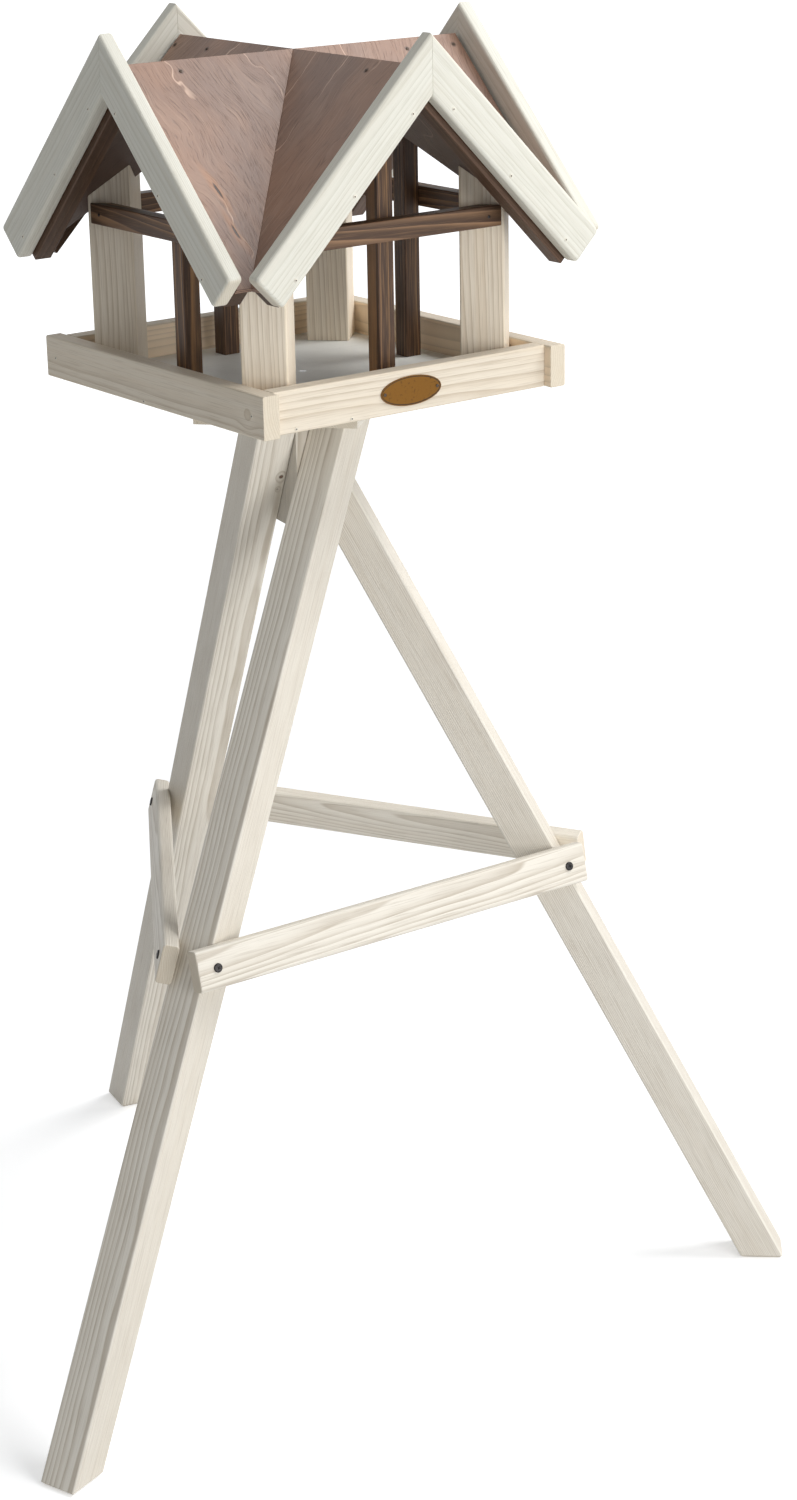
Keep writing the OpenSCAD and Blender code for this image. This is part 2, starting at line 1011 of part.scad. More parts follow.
floor_panel();
rim_front();
rim_back();
rim_left();
rim_right();
corner_post(left_turn);  // corner_post_front_left
corner_post(front_turn);  // corner_post_front_right
corner_post(right_turn);  // corner_post_back_right
corner_post(back_turn);  // corner_post_back_left
centre_post(front_turn);  // centre_post_front
centre_post(right_turn);  // centre_post_right
centre_post(back_turn);  // centre_post_back
centre_post(left_turn);  // centre_post_left
crossbar(front_turn);  // crossbar_front
crossbar(right_turn);  // crossbar_right
crossbar(back_turn);  // crossbar_back
crossbar(left_turn);  // crossbar_left
roof_panel(front_turn, -1);  // roof_panel_front_left
roof_panel(front_turn, 1);  // roof_panel_front_right
roof_panel(right_turn, -1);  // roof_panel_right_left
roof_panel(right_turn, 1);  // roof_panel_right_right
roof_panel(back_turn, -1);  // roof_panel_back_left
roof_panel(back_turn, 1);  // roof_panel_back_right
roof_panel(left_turn, -1);  // roof_panel_left_left
roof_panel(left_turn, 1);  // roof_panel_left_right
batten(front_turn, -1);  // batten_front_left
batten(front_turn, 1);  // batten_front_right
batten(right_turn, -1);  // batten_right_left
batten(right_turn, 1);  // batten_right_right
batten(back_turn, -1);  // batten_back_left
batten(back_turn, 1);  // batten_back_right
batten(left_turn, -1);  // batten_left_left
batten(left_turn, 1);  // batten_left_right
bargeboard(front_turn, -1);  // bargeboard_front_left
bargeboard(front_turn, 1);  // bargeboard_front_right
bargeboard(right_turn, -1);  // bargeboard_right_left
bargeboard(right_turn, 1);  // bargeboard_right_right
bargeboard(back_turn, -1);  // bargeboard_back_left
bargeboard(back_turn, 1);  // bargeboard_back_right
bargeboard(left_turn, -1);  // bargeboard_left_left
bargeboard(left_turn, 1);  // bargeboard_left_right
name_plate();
top_plate();
core_block();
leg(0);  // leg_left
leg(1);  // leg_right
leg(2);  // leg_back
brace(0);  // brace_front
brace(1);  // brace_back
brace(2);  // brace_left
rim_nails();
bar_nails();
roof_nails();
bargeboard_nails();
name_plate_pins();
floor_screws();
plate_screws();
core_screws();
brace_screws();
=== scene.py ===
"""Dresses the bird feeding house on its three-legged stand.

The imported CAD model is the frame. Each sub-assembly is a class that builds its
visible pieces over the CAD nodes that they stand for, in metres, and gives every
piece a finish of its own. The grain of each piece of timber is a solid pattern in
the piece's own frame, so that it runs right through from face to end.
"""

from __future__ import annotations

import json
import logging
import math
from collections.abc import Callable, Mapping, Sequence
from dataclasses import dataclass, replace
from enum import Enum
from typing import Any

import bmesh
import bpy
from mathutils import Matrix, Vector

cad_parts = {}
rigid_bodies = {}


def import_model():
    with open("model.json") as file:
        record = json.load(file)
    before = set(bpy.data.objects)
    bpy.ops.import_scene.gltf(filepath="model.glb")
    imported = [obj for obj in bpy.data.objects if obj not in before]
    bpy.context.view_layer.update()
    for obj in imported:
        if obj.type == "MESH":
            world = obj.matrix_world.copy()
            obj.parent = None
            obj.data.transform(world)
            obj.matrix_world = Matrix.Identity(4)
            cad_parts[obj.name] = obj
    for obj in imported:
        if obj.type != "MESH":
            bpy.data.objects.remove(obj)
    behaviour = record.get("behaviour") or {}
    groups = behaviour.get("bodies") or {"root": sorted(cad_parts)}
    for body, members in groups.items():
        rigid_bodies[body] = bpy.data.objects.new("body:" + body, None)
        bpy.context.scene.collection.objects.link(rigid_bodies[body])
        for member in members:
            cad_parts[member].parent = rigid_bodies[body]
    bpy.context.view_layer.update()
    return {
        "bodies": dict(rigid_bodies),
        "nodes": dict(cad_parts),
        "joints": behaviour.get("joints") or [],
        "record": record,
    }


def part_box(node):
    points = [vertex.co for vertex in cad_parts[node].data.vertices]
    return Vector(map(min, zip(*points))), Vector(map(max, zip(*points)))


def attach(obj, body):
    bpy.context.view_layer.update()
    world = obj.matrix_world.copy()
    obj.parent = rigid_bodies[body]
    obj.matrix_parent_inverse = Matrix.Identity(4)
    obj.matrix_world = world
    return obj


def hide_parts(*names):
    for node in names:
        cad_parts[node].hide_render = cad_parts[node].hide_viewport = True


BODY = "root"
LOG = logging.getLogger("bird_house")

TOUCH = 1e-6  # Points nearer than this are one point to the saw.
NEAR = 1e-5  # A place that is nearer than this to another counts as the same.
SQUARE = 0.9  # Least cosine between a face's normal and an axis that it faces.
PARALLEL = 0.999  # Least cosine between two parallel directions.
PLAY = 1.05  # How much wider than a circle the test for what lies inside it is.
SMOOTH_ANGLE = 50.0  # Shading runs on over edges that turn less, in degrees.

Colour = tuple[int, int, int]


class Slot(Enum):
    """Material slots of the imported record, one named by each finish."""

    GLAZED_PINE = "glazed_pine"
    STAND_PINE = "stand_pine"
    STAINED_PINE = "stained_pine"
    BROWN_PLYWOOD = "brown_plywood"
    BRONZE = "bronze"
    NAIL_STEEL = "nail_steel"
    SCREW_STEEL = "screw_steel"
    DARK_STEEL = "dark_steel"


class Gable(Enum):
    """The four gables, with their turns about the house in degrees."""

    FRONT = 0.0
    RIGHT = 90.0
    BACK = 180.0
    LEFT = 270.0

    @property
    def label(self) -> str:
        """The gable's name as the node names have it."""
        return self.name.lower()


class Half(Enum):
    """The two slopes of a gable, seen by someone who faces it."""

    LEFT = -1
    RIGHT = 1

    @property
    def label(self) -> str:
        """The half's name as the node names have it."""
        return self.name.lower()


def toned(colour: Colour, tone: float = 1.0) -> tuple[float, ...]:
    """Turns a colour into the linear one that a shader takes.

    Args:
        colour: The colour on the display, from 0 to 255.
        tone: How much lighter or darker it becomes.

    Returns:
        The linear colour.
    """
    parts = [value / 255 for value in colour]
    linear = [v / 12.92 if v <= 0.04045 else ((v + 0.055) / 1.055) ** 2.4 for v in parts]
    return tuple(value * tone for value in linear)


def turned(degrees: float, axis: str) -> Matrix:
    """Makes a rotation about X, Y or Z, in degrees."""
    return Matrix.Rotation(math.radians(degrees), 4, axis)


def moved(x: float, y: float, z: float) -> Matrix:
    """Makes a translation, in metres."""
    return Matrix.Translation((x, y, z))


# Shader expressions


def arithmetic(operation: str) -> Callable[[Number, Number | float], Number]:
    """Makes a method that joins two values in a Math node.

    Args:
        operation: What the node does.

    Returns:
        The method.
    """

    def method(first: Number, second: Number | float) -> Number:
        """Adds the node and gives its result."""
        return first.shader.math(operation, first, second)

    return method


class Number:
    """A value in a shader. Arithmetic on it adds Math nodes to the tree."""

    def __init__(self, shader: Shader, socket: bpy.types.NodeSocket) -> None:
        """Wraps an output of one of the shader's nodes."""
        self.shader = shader
        self.socket = socket

    __add__ = __radd__ = arithmetic("ADD")
    __sub__ = arithmetic("SUBTRACT")
    __mul__ = __rmul__ = arithmetic("MULTIPLY")
    __truediv__ = arithmetic("DIVIDE")
    __pow__ = arithmetic("POWER")
    at_least = arithmetic("MAXIMUM")

    def __rsub__(self, other: Number | float) -> Number:
        """Subtracts this from a number."""
        return self.shader.math("SUBTRACT", other, self)

    def __abs__(self) -> Number:
        """Drops the sign."""
        return self.shader.math("ABSOLUTE", self)

    def fraction(self) -> Number:
        """The part after the point."""
        return self.shader.math("FRACT", self)

    def rise(self, low: float, high: float) -> Number:
        """A smooth step from 0 at low to 1 at high.

        Args:
            low: Where the step starts.
            high: Where it ends, which may lie below low for a step down.

        Returns:
            The step.
        """
        if high < low:
            return 1 - self.rise(high, low)
        sockets = {"Value": self, "From Min": low, "From Max": high}
        node = self.shader.node("MapRange", sockets, interpolation_type="SMOOTHSTEP")
        return Number(self.shader, node.outputs[0])


class Shader:
    """The node tree of a material or of the world."""

    def __init__(self, owner: bpy.types.Material | bpy.types.World) -> None:
        """Empties the owner's node tree.

        Args:
            owner: The material or the world.
        """
        self.owner = owner
        owner.use_nodes = True
        self.tree = owner.node_tree
        self.tree.nodes.clear()

    @classmethod
    def named(cls, name: str) -> Shader:
        """Starts a new material of that name."""
        return cls(bpy.data.materials.new(name))

    def node(
        self, kind: str, sockets: Mapping[str | int, Any] | None = None, **settings: Any
    ) -> bpy.types.Node:
        """Adds a node.

        Args:
            kind: The node's type, without the words that all shader nodes share.
            sockets: Values, numbers or outputs for its inputs, by name or place.
            settings: Its own settings, which are set first.

        Returns:
            The new node.
        """
        node = self.tree.nodes.new(f"ShaderNode{kind}")
        for key, value in settings.items():
            setattr(node, key, value)
        for key, value in (sockets or {}).items():
            given = value.socket if isinstance(value, Number) else value
            if isinstance(given, bpy.types.NodeSocket):
                self.tree.links.new(given, node.inputs[key])
            else:
                node.inputs[key].default_value = given
        return node

    def math(self, operation: str, *values: Number | float) -> Number:
        """Adds a Math node and gives its result."""
        node = self.node("Math", dict(enumerate(values)), operation=operation)
        return Number(self, node.outputs[0])

    def vector(self, operation: str, *values: Any) -> bpy.types.NodeSocket:
        """Adds a Vector Math node and gives its vector."""
        return self.node("VectorMath", dict(enumerate(values)), operation=operation).outputs[0]

    def scalar(self, operation: str, *values: Any) -> Number:
        """Adds a Vector Math node and gives its number."""
        node = self.node("VectorMath", dict(enumerate(values)), operation=operation)
        return Number(self, node.outputs[1])

    def join(self, *values: Number | float) -> bpy.types.NodeSocket:
        """Makes coordinates of up to three numbers."""
        return self.node("CombineXYZ", dict(enumerate(values))).outputs[0]

    def mix(self, share: Number | float, first: Any, second: Any) -> bpy.types.NodeSocket:
        """Mixes two colours, with a share of the second one."""
        sockets = {0: share, 6: self.colour(first), 7: self.colour(second)}
        return self.node("Mix", sockets, data_type="RGBA").outputs[2]

    def layered(self, colour: Any, *layers: tuple[Number | float, Any]) -> Any:
        """Lays colours over one another.

        Args:
            colour: The lowest colour.
            layers: The share and the colour of each further one, from below.

        Returns:
            The colour that shows.
        """
        for share, upper in layers:
            colour = self.mix(share, colour, upper)
        return colour

    @staticmethod
    def colour(value: Any) -> Any:
        """Gives a plain colour its fourth value, and leaves an output as it is."""
        return (*value, 1.0) if isinstance(value, tuple) else value

    def noise(self, place: Any, stretch: Sequence[float], detail: float = 2.0) -> Number:
        """Adds smooth noise from 0 to 1.

        Args:
            place: The coordinates.
            stretch: How many waves there are in a metre, along each axis.
            detail: How many finer layers lie over it.

        Returns:
            The noise.
        """
        at = self.vector("MULTIPLY", place, tuple(stretch))
        node = self.node("TexNoise", {"Vector": at, "Scale": 1.0, "Detail": detail})
        return Number(self, node.outputs[0])

    def coordinates(self, output: str) -> bpy.types.NodeSocket:
        """Gives the surface's own coordinates of a kind."""
        return self.node("TexCoord").outputs[output]

    def local(self, frame: Matrix) -> bpy.types.NodeSocket:
        """Coordinates in a piece's own frame.

        Args:
            frame: The piece's frame in the row frame.

        Returns:
            The coordinates.
        """
        sockets = {
            "Vector": self.coordinates("Object"),
            "Location": tuple(frame.to_translation()),
            "Rotation": tuple(frame.to_euler()),
        }
        return self.node("Mapping", sockets, vector_type="TEXTURE").outputs[0]

    def parts(self, place: Any) -> tuple[Number, ...]:
        """Splits coordinates into three numbers."""
        node = self.node("SeparateXYZ", {0: place})
        return tuple(Number(self, output) for output in node.outputs)

    def facing(self, direction: Vector) -> Number:
        """How squarely the surface faces along a direction or against it, from 0 to 1."""
        return abs(self.scalar("DOT_PRODUCT", self.coordinates("Normal"), tuple(direction)))

    def distance(self, place: Any, point: Sequence[float]) -> Number:
        """How far coordinates are from a point."""
        return self.scalar("DISTANCE", place, tuple(point))

    def finish(
        self,
        colour: Any,
        roughness: Number | float,
        relief: Number,
        depth: float,
        **constant: float,
    ) -> bpy.types.Material:
        """Ends the material in a principled shader.

        Args:
            colour: Base colour.
            roughness: Roughness.
            relief: Height of the surface from 0 to 1.
            depth: What a height of 1 measures.
            constant: Other sockets of the shader, with spaces as underscores.

        Returns:
            The material.
        """
        bump = self.node("Bump", {"Height": relief, "Strength": 1.0, "Distance": depth})
        sockets: dict[str | int, Any] = {
            "Base Color": self.colour(colour),
            "Roughness": roughness,
            "Normal": bump.outputs[0],
        }
        for name, value in constant.items():
            sockets[name.replace("_", " ")] = value
        surface = self.node("BsdfPrincipled", sockets)
        self.node("OutputMaterial", {0: surface.outputs[0]})
        return self.owner


# Finishes


@dataclass(frozen=True)
class Knot:
    """A branch that shows on a face.

    Attributes:
        place: Its middle on the face, in the piece's own frame.
        radius: Its radius.
        dark: How dark it is, from 0 to 1.
    """

    place: Vector
    radius: float
    dark: float = 0.7


@dataclass(frozen=True)
class Grain:
    """How a piece lies in the timber that it was sawn from.

    Attributes:
        frame: The piece's own frame, with X along the grain.
        low: Its lowest corner in that frame.
        high: Its highest corner in that frame.
        seed: Shift of the pattern, so that no two pieces look alike.
        pith: Place of the tree's middle across the grain, from the piece's middle.
        slant: How fast the pith drifts sideways along the piece.
        tone: Factor on the finish's colours, which on the corner posts and the back brace is
            painted light and shade.
        sway: How far the rings wander along the piece.
        bare: Way out of a face that the glaze never reached, in the piece's own frame.
        knots: Knots on its faces.
        nails: Places of the nail heads on it.
    """

    frame: Matrix
    low: Vector
    high: Vector
    seed: float = 0.0
    pith: tuple[float, float] = (0.035, -0.11)
    slant: float = 0.012
    tone: float = 1.0
    sway: float = 0.006
    bare: Vector | None = None
    knots: tuple[Knot, ...] = ()
    nails: tuple[Vector, ...] = ()

    @property
    def middle(self) -> Vector:
        """The piece's middle in its own frame."""
        return (self.low + self.high) / 2

    def way(self, *direction: float) -> Vector:
        """Turns a direction of the piece's own frame into the row frame."""
        return self.frame.to_3x3() @ Vector(direction)


@dataclass(frozen=True)
class Timber:
    """Finish of solid softwood: rings round the pith, fibres, knots and rubbed edges with a painted
    highlight.

    Attributes:
        slot: The record's material slot.
        early: Colour of the soft, early part of a ring.
        late: Colour of its dense, late part.
        streak: Colour of the broad streaks along the grain.
        worn_and_highlight: Colour where the arrises are rubbed, which also paints a highlight on
            them.
        end: Colour of the end grain.
        raw: Colour of a face without glaze.
        knot: Colour of a knot's heart.
        ring: Width of a ring.
        narrow: How narrow the late part of a ring is.
        ring_share: How strongly the rings show.
        streak_share: How strongly the streaks show.
        wear_and_highlight_share: How strongly the rubbed arrises and their painted highlight show.
        roughness: Mean roughness.
        depth: Depth of the relief.
        ripple: How far the rings ripple.
        rubbed: Distances from an arris between which its wear and painted highlight fade in.
        halo: Distances from a nail between which its pale ring fades in.
    """

    slot: Slot
    early: Colour
    late: Colour
    streak: Colour
    worn_and_highlight: Colour
    end: Colour
    raw: Colour
    knot: Colour
    ring: float = 0.0034
    narrow: float = 3.0
    ring_share: float = 0.75
    streak_share: float = 0.3
    wear_and_highlight_share: float = 0.35
    roughness: float = 0.55
    depth: float = 0.00035
    ripple: float = 0.0012
    rubbed: tuple[float, float] = (0.0035, 0.0006)
    halo: tuple[float, float] = (0.0052, 0.0026)

    def material(self, name: str, grain: Grain) -> bpy.types.Material:
        """Makes the material of one piece.

        Args:
            name: The material's name.
            grain: How the piece lies in the timber.

        Returns:
            The material.
        """
        shader = Shader.named(name)
        place = shader.local(grain.frame)
        x, y, z = shader.parts(place)
        seeded = shader.vector("ADD", place, (grain.seed, 0.37 * grain.seed, 0.71 * grain.seed))
        middle = grain.middle
        pith_y, pith_z = middle.y + grain.pith[0], middle.z + grain.pith[1]
        across_y = y - pith_y - x * grain.slant
        across_z = z - pith_z
        radius = (across_y * across_y + across_z * across_z) ** 0.5
        sway = shader.noise(seeded, (1.6, 8.0, 8.0)) - 0.5
        ripple = shader.noise(seeded, (9.0, 45.0, 45.0), 1.0) - 0.5
        radius = radius + grain.sway * sway + self.ripple * ripple
        hearts: list[tuple[Number, Knot]] = []
        for knot in grain.knots:
            angle = math.atan2(knot.place.z - pith_z, knot.place.y - pith_y)
            aside = across_z * math.cos(angle) - across_y * math.sin(angle)
            along = x - knot.place.x
            away = ((along * along + aside * aside) ** 0.5) / knot.radius
            lift = (0.5 + knot.dark) * knot.radius
            radius = radius - lift * shader.math("EXPONENT", away * away * -0.22)
            hearts.append((away, knot))
        uneven = shader.noise(shader.join(radius, grain.seed), (190.0, 1.0, 1.0), 1.0)
        turn = (radius / self.ring + 1.6 * uneven).fraction()
        late = (turn**self.narrow) * turn.rise(1.0, 0.9)
        streak = shader.noise(seeded, (2.2, 95.0, 95.0)).rise(0.42, 0.72)
        fibre = shader.noise(seeded, (22.0, 1100.0, 1100.0))
        glaze = shader.noise(seeded, (14.0, 30.0, 30.0), 3.0)
        colour = shader.layered(
            toned(self.early, grain.tone),
            (self.ring_share * late * (0.4 + 1.1 * glaze), toned(self.late, grain.tone)),
            (self.streak_share * streak, toned(self.streak, grain.tone)),
            (0.3 * fibre.rise(0.48, 0.75), toned(self.late, 0.9 * grain.tone)),
        )
        if grain.bare is not None:
            reach = max(
                abs((corner - middle).dot(grain.bare)) for corner in (grain.low, grain.high)
            )
            inside = shader.facing(grain.way(*grain.bare)).rise(0.9, 0.97)
            side = shader.scalar("DOT_PRODUCT", place, tuple(grain.bare)) - middle.dot(grain.bare)
            bare = inside * side.rise(0.9 * reach, 0.96 * reach)
            wood = shader.mix(0.7 * late, toned(self.raw), toned(self.raw, 0.6))
            colour = shader.mix(0.92 * bare, colour, wood)
        ends = shader.facing(grain.way(1, 0, 0)).rise(0.55, 0.85)
        # The arrises take a colour of their own: partly rubbed wood and partly a painted edge
        # highlight.
        half = (grain.high - grain.low) / 2
        from_edge = (half.y - abs(y - middle.y)).at_least(half.z - abs(z - middle.z))
        wear = (from_edge + 0.006 * (glaze - 0.5)).rise(*self.rubbed)
        colour = shader.layered(
            colour,
            (ends * (0.45 + 0.4 * late), toned(self.end, grain.tone)),
            (self.wear_and_highlight_share * wear, toned(self.worn_and_highlight, grain.tone)),
        )
        relief = 0.6 - 0.45 * late + 0.35 * fibre
        for away, knot in hearts:
            lines = (away * 3.2 + 0.8 * glaze).fraction() * 0.35
            heart = away.rise(1.06, 0.86) * knot.dark
            rim = away.rise(0.72, 0.95) * away.rise(1.14, 0.98) * knot.dark
            colour = shader.layered(
                colour,
                (heart * (0.75 + lines), toned(self.knot)),
                (0.8 * rim, toned(self.knot, 0.4)),
            )
            relief = relief - 0.8 * rim
        for nail in grain.nails:
            pale = shader.distance(place, nail).rise(*self.halo)
            colour = shader.mix(0.5 * pale, colour, toned(self.early, 1.04))
        rough = self.roughness + 0.16 * (fibre - 0.5) + 0.14 * (glaze - 0.5)
        return shader.finish(colour, rough, relief, self.depth, Specular_IOR_Level=0.35)


@dataclass(frozen=True)
class Veneer:
    """Finish of brown-stained plywood: a rotary-cut face over thin crossed plies.

    Attributes:
        slot: The record's material slot.
        base: Colour of the stained face.
        warm: Colour of its warmer clouds.
        pale: Colour of the pale veins.
        pore: Colour of the open pores.
        burl: Colour round a crack in the face.
        plies: How many plies the sheet has.
        roughness: Mean roughness.
        depth: Depth of the relief.
        halo: Distances from a nail between which its dark ring fades in, a painted shade of the
            dent round the nail.
    """

    slot: Slot
    base: Colour
    warm: Colour
    pale: Colour
    pore: Colour
    burl: Colour
    plies: int = 5
    roughness: float = 0.5
    depth: float = 0.00028
    halo: tuple[float, float] = (0.0045, 0.002)

    def material(self, name: str, grain: Grain) -> bpy.types.Material:
        """Makes the material of one panel.

        Args:
            name: The material's name.
            grain: The panel's frame, with X down the slope and Z square to the sheet.

        Returns:
            The material.
        """
        shader = Shader.named(name)
        place = shader.local(grain.frame)
        x, y, z = shader.parts(place)
        flat = shader.join(x, y, grain.seed)
        seeded = shader.vector("ADD", flat, (grain.seed, 0.43 * grain.seed, 0.0))
        swirl = shader.noise(seeded, (5.0, 9.0, 1.0)) - 0.5
        curl = shader.noise(seeded, (18.0, 34.0, 1.0)) - 0.5
        line = y + grain.slant * x + 0.085 * swirl + 0.012 * curl
        bent = shader.join(x + 0.03 * swirl, line, grain.seed)
        veins = (line * 19.0 + 0.8 * curl).fraction()
        vein_mask = shader.noise(seeded, (6.0, 12.0, 1.0), 1.0).rise(0.5, 0.62)
        vein = veins.rise(0.93, 0.965) * veins.rise(0.995, 0.97) * vein_mask
        strokes = shader.noise(bent, (20.0, 460.0, 1.0), 4.0)
        pores = shader.noise(bent, (48.0, 780.0, 1.0)).rise(0.54, 0.70)
        cloud = shader.noise(seeded, (9.0, 15.0, 1.0), 3.0)
        patch = shader.noise(bent, (7.0, 42.0, 1.0))
        colour = shader.layered(
            toned(self.base, grain.tone),
            (cloud.rise(0.36, 0.64), toned(self.warm, grain.tone)),
            (0.15 * patch.rise(0.5, 0.7), toned(self.pale, 0.8 * grain.tone)),
            (0.26 * strokes.rise(0.46, 0.76), toned(self.pale, grain.tone)),
            (0.4 * pores, toned(self.pore, grain.tone)),
            (0.7 * vein, toned(self.pale, 1.3 * grain.tone)),
        )
        relief = 0.5 + 0.25 * strokes - 0.5 * pores + 0.5 * vein
        for knot in grain.knots:
            along = x - knot.place.x
            aside = y - knot.place.y + grain.slant * along + 0.012 * curl
            away = ((0.03 * along * along + aside * aside) ** 0.5) / knot.radius
            crack = away.rise(0.42, 0.22) * knot.dark
            colour = shader.layered(
                colour,
                (0.6 * away.rise(1.5, 0.45), toned(self.burl)),
                (crack, toned(self.pore, 0.6)),
            )
            relief = relief - crack
        sheet = grain.high.z - grain.low.z
        layer = ((z - grain.low.z) * (self.plies / 2 / sheet)).fraction()
        edge = shader.facing(grain.way(0, 0, 1)).rise(0.6, 0.4)
        crossed = shader.mix(
            layer.rise(0.45, 0.55), toned(self.pore, 1.5), toned(self.warm, 1.1)
        )
        # Painted shade: the panel's underside, but not its edges, darkens towards the pore colour,
        # standing for the shade under the roof.
        under = z.rise(grain.low.z + 0.3 * sheet, grain.low.z + 0.1 * sheet) * (1 - edge)
        colour = shader.layered(colour, (edge, crossed), (0.75 * under, toned(self.pore, 0.7)))
        # Painted shade: a dark ring round each nail stands for the shade in the dent round it.
        for nail in grain.nails:
            ring = shader.distance(place, nail).rise(*self.halo)
            colour = shader.mix(0.6 * ring, colour, toned(self.pore, 0.7))
        rough = self.roughness + 0.2 * (strokes - 0.5) + 0.15 * (cloud - 0.5)
        coat = {"Specular_IOR_Level": 0.45, "Coat_Weight": 0.12, "Coat_Roughness": 0.42}
        return shader.finish(colour, rough, relief, self.depth, **coat)


@dataclass(frozen=True)
class PaleBoard:
    """Finish of the floor panel: a pale, faintly mottled face with fibres at its edges.

    Attributes:
        face: Colour of the face.
        fleck: Colour of its flecks.
        edge: Colour of its edges.
        roughness: Mean roughness.
        depth: Depth of the relief.
    """

    face: Colour
    fleck: Colour
    edge: Colour
    roughness: float = 0.48
    depth: float = 0.00012

    def material(self, name: str, grain: Grain) -> bpy.types.Material:
        """Makes the material of the panel.

        Args:
            name: The material's name.
            grain: The panel's frame, with Z square to the sheet.

        Returns:
            The material.
        """
        shader = Shader.named(name)
        place = shader.local(grain.frame)
        mottle = shader.noise(place, (26.0, 26.0, 26.0), 4.0)
        fleck = shader.noise(place, (420.0, 260.0, 300.0)).rise(0.62, 0.74)
        scuff = shader.noise(place, (8.0, 70.0, 10.0)).rise(0.6, 0.75)
        colour = shader.layered(
            toned(self.face, 0.96),
            (mottle.rise(0.3, 0.7), toned(self.face, 1.03)),
            (0.22 * fleck, toned(self.fleck)),
            (0.12 * scuff, toned(self.fleck)),
            (shader.facing(grain.way(0, 0, 1)).rise(0.6, 0.4), toned(self.edge)),
        )
        rough = self.roughness + 0.2 * (mottle - 0.5) + 0.1 * scuff
        return shader.finish(colour, rough, 0.5 + 0.3 * mottle - 0.4 * fleck, self.depth)


@dataclass(frozen=True)
class Metal:
    """Finish of a metal: brushed along one axis, with dull and dark spots.

    Attributes:
        slot: The record's material slot.
        bright: Colour where it is rubbed.
        dull: Colour where it has darkened.
        roughness: Mean roughness.
        metallic: How metallic the surface is.
        brush: Waves of the brushing in a metre, along each axis.
        spots: Share of the surface that has darkened, from 0 to 1.
        depth: Depth of the brushing.
    """

    slot: Slot
    bright: Colour
    dull: Colour
    roughness: float
    metallic: float = 1.0
    brush: tuple[float, float, float] = (60.0, 1500.0, 1500.0)
    spots: float = 0.5
    depth: float = 0.00003

    def material(self, name: str, frame: Matrix | None = None) -> bpy.types.Material:
        """Makes the material of a piece.

        Args:
            name: The material's name.
            frame: The piece's own frame, if the brushing follows one.

        Returns:
            The material.
        """
        shader = Shader.named(name)
        place = shader.local(frame or Matrix.Identity(4))
        brushed = shader.noise(place, self.brush)
        spot = shader.noise(place, (340.0, 340.0, 340.0), 3.0)
        dark = spot.rise(0.75 - 0.5 * self.spots, 0.9 - 0.4 * self.spots)
        colour = shader.layered(
            toned(self.bright),
            (dark, toned(self.dull)),
            (0.3 * brushed.rise(0.45, 0.7), toned(self.bright, 1.15)),
        )
        rough = self.roughness + 0.18 * (spot - 0.5) + 0.12 * (brushed - 0.5)
        return shader.finish(colour, rough, brushed, self.depth, Metallic=self.metallic)


GLAZED = Timber(
    slot=Slot.GLAZED_PINE,
    early=(230, 219, 201),
    late=(166, 144, 116),
    streak=(222, 204, 178),
    worn_and_highlight=(228, 214, 190),
    end=(216, 204, 182),
    raw=(250, 229, 201),
    knot=(150, 118, 88),
    ring=0.0028,
    ring_share=0.65,
)
BOARDS = replace(
    GLAZED,
    early=(225, 223, 212),
    late=(182, 177, 158),
    streak=(206, 198, 180),
    worn_and_highlight=(228, 222, 207),
    ring=0.0022,
    ring_share=0.5,
)
STAND = Timber(
    slot=Slot.STAND_PINE,
    early=(236, 230, 218),
    late=(164, 148, 126),
    streak=(216, 204, 186),
    worn_and_highlight=(236, 231, 220),
    end=(205, 190, 165),
    raw=(234, 202, 162),
    knot=(112, 84, 62),
    ring=0.0017,
    narrow=2.0,
    ring_share=0.65,
    streak_share=0.2,
)
STAINED = Timber(
    slot=Slot.STAINED_PINE,
    early=(74, 52, 36),
    late=(170, 132, 98),
    streak=(48, 34, 25),
    worn_and_highlight=(104, 76, 57),
    end=(42, 29, 24),
    raw=(120, 84, 58),
    knot=(34, 22, 18),
    ring=0.0050,
    narrow=2.4,
    ring_share=1.0,
    streak_share=0.5,
    wear_and_highlight_share=0.25,
    roughness=0.5,
)
STREAKED = replace(
    STAINED,
    early=(72, 51, 37),
    late=(212, 162, 110),
    ring=0.0088,
    narrow=9.0,
    ring_share=1.0,
    streak_share=0.4,
)
SMOOTH = replace(
    STAINED, late=(128, 96, 74), ring=0.0032, ring_share=0.4, streak_share=0.3
)
PLYWOOD = Veneer(
    slot=Slot.BROWN_PLYWOOD,
    base=(130, 103, 89),
    warm=(149, 116, 97),
    pale=(202, 172, 152),
    pore=(66, 46, 37),
    burl=(176, 128, 94),
)
FLOOR_FACE = PaleBoard(
    face=(234, 234, 228), fleck=(188, 184, 176), edge=(160, 134, 104)
)
BRONZE = Metal(
    slot=Slot.BRONZE,
    bright=(112, 75, 22),
    dull=(74, 50, 17),
    roughness=0.45,
    metallic=0.75,
    brush=(90.0, 900.0, 900.0),
    spots=0.35,
)
BRONZE_LINE = Metal(Slot.BRONZE, (44, 30, 13), (30, 21, 10), roughness=0.5, metallic=0.5)
NAIL = Metal(Slot.NAIL_STEEL, (84, 72, 62), (56, 48, 42), roughness=0.55, metallic=0.6)
PIN = replace(NAIL, slot=Slot.BRONZE)
GLAZE = Metal(Slot.NAIL_STEEL, (226, 220, 206), (212, 204, 188), roughness=0.6, metallic=0.0)
BRIGHT_SCREW = Metal(
    Slot.SCREW_STEEL, (196, 198, 202), (150, 150, 152), roughness=0.28, spots=0.25
)
DARK_SCREW = Metal(Slot.DARK_STEEL, (58, 56, 56), (32, 31, 32), roughness=0.42, metallic=0.9)


# Work at the bench


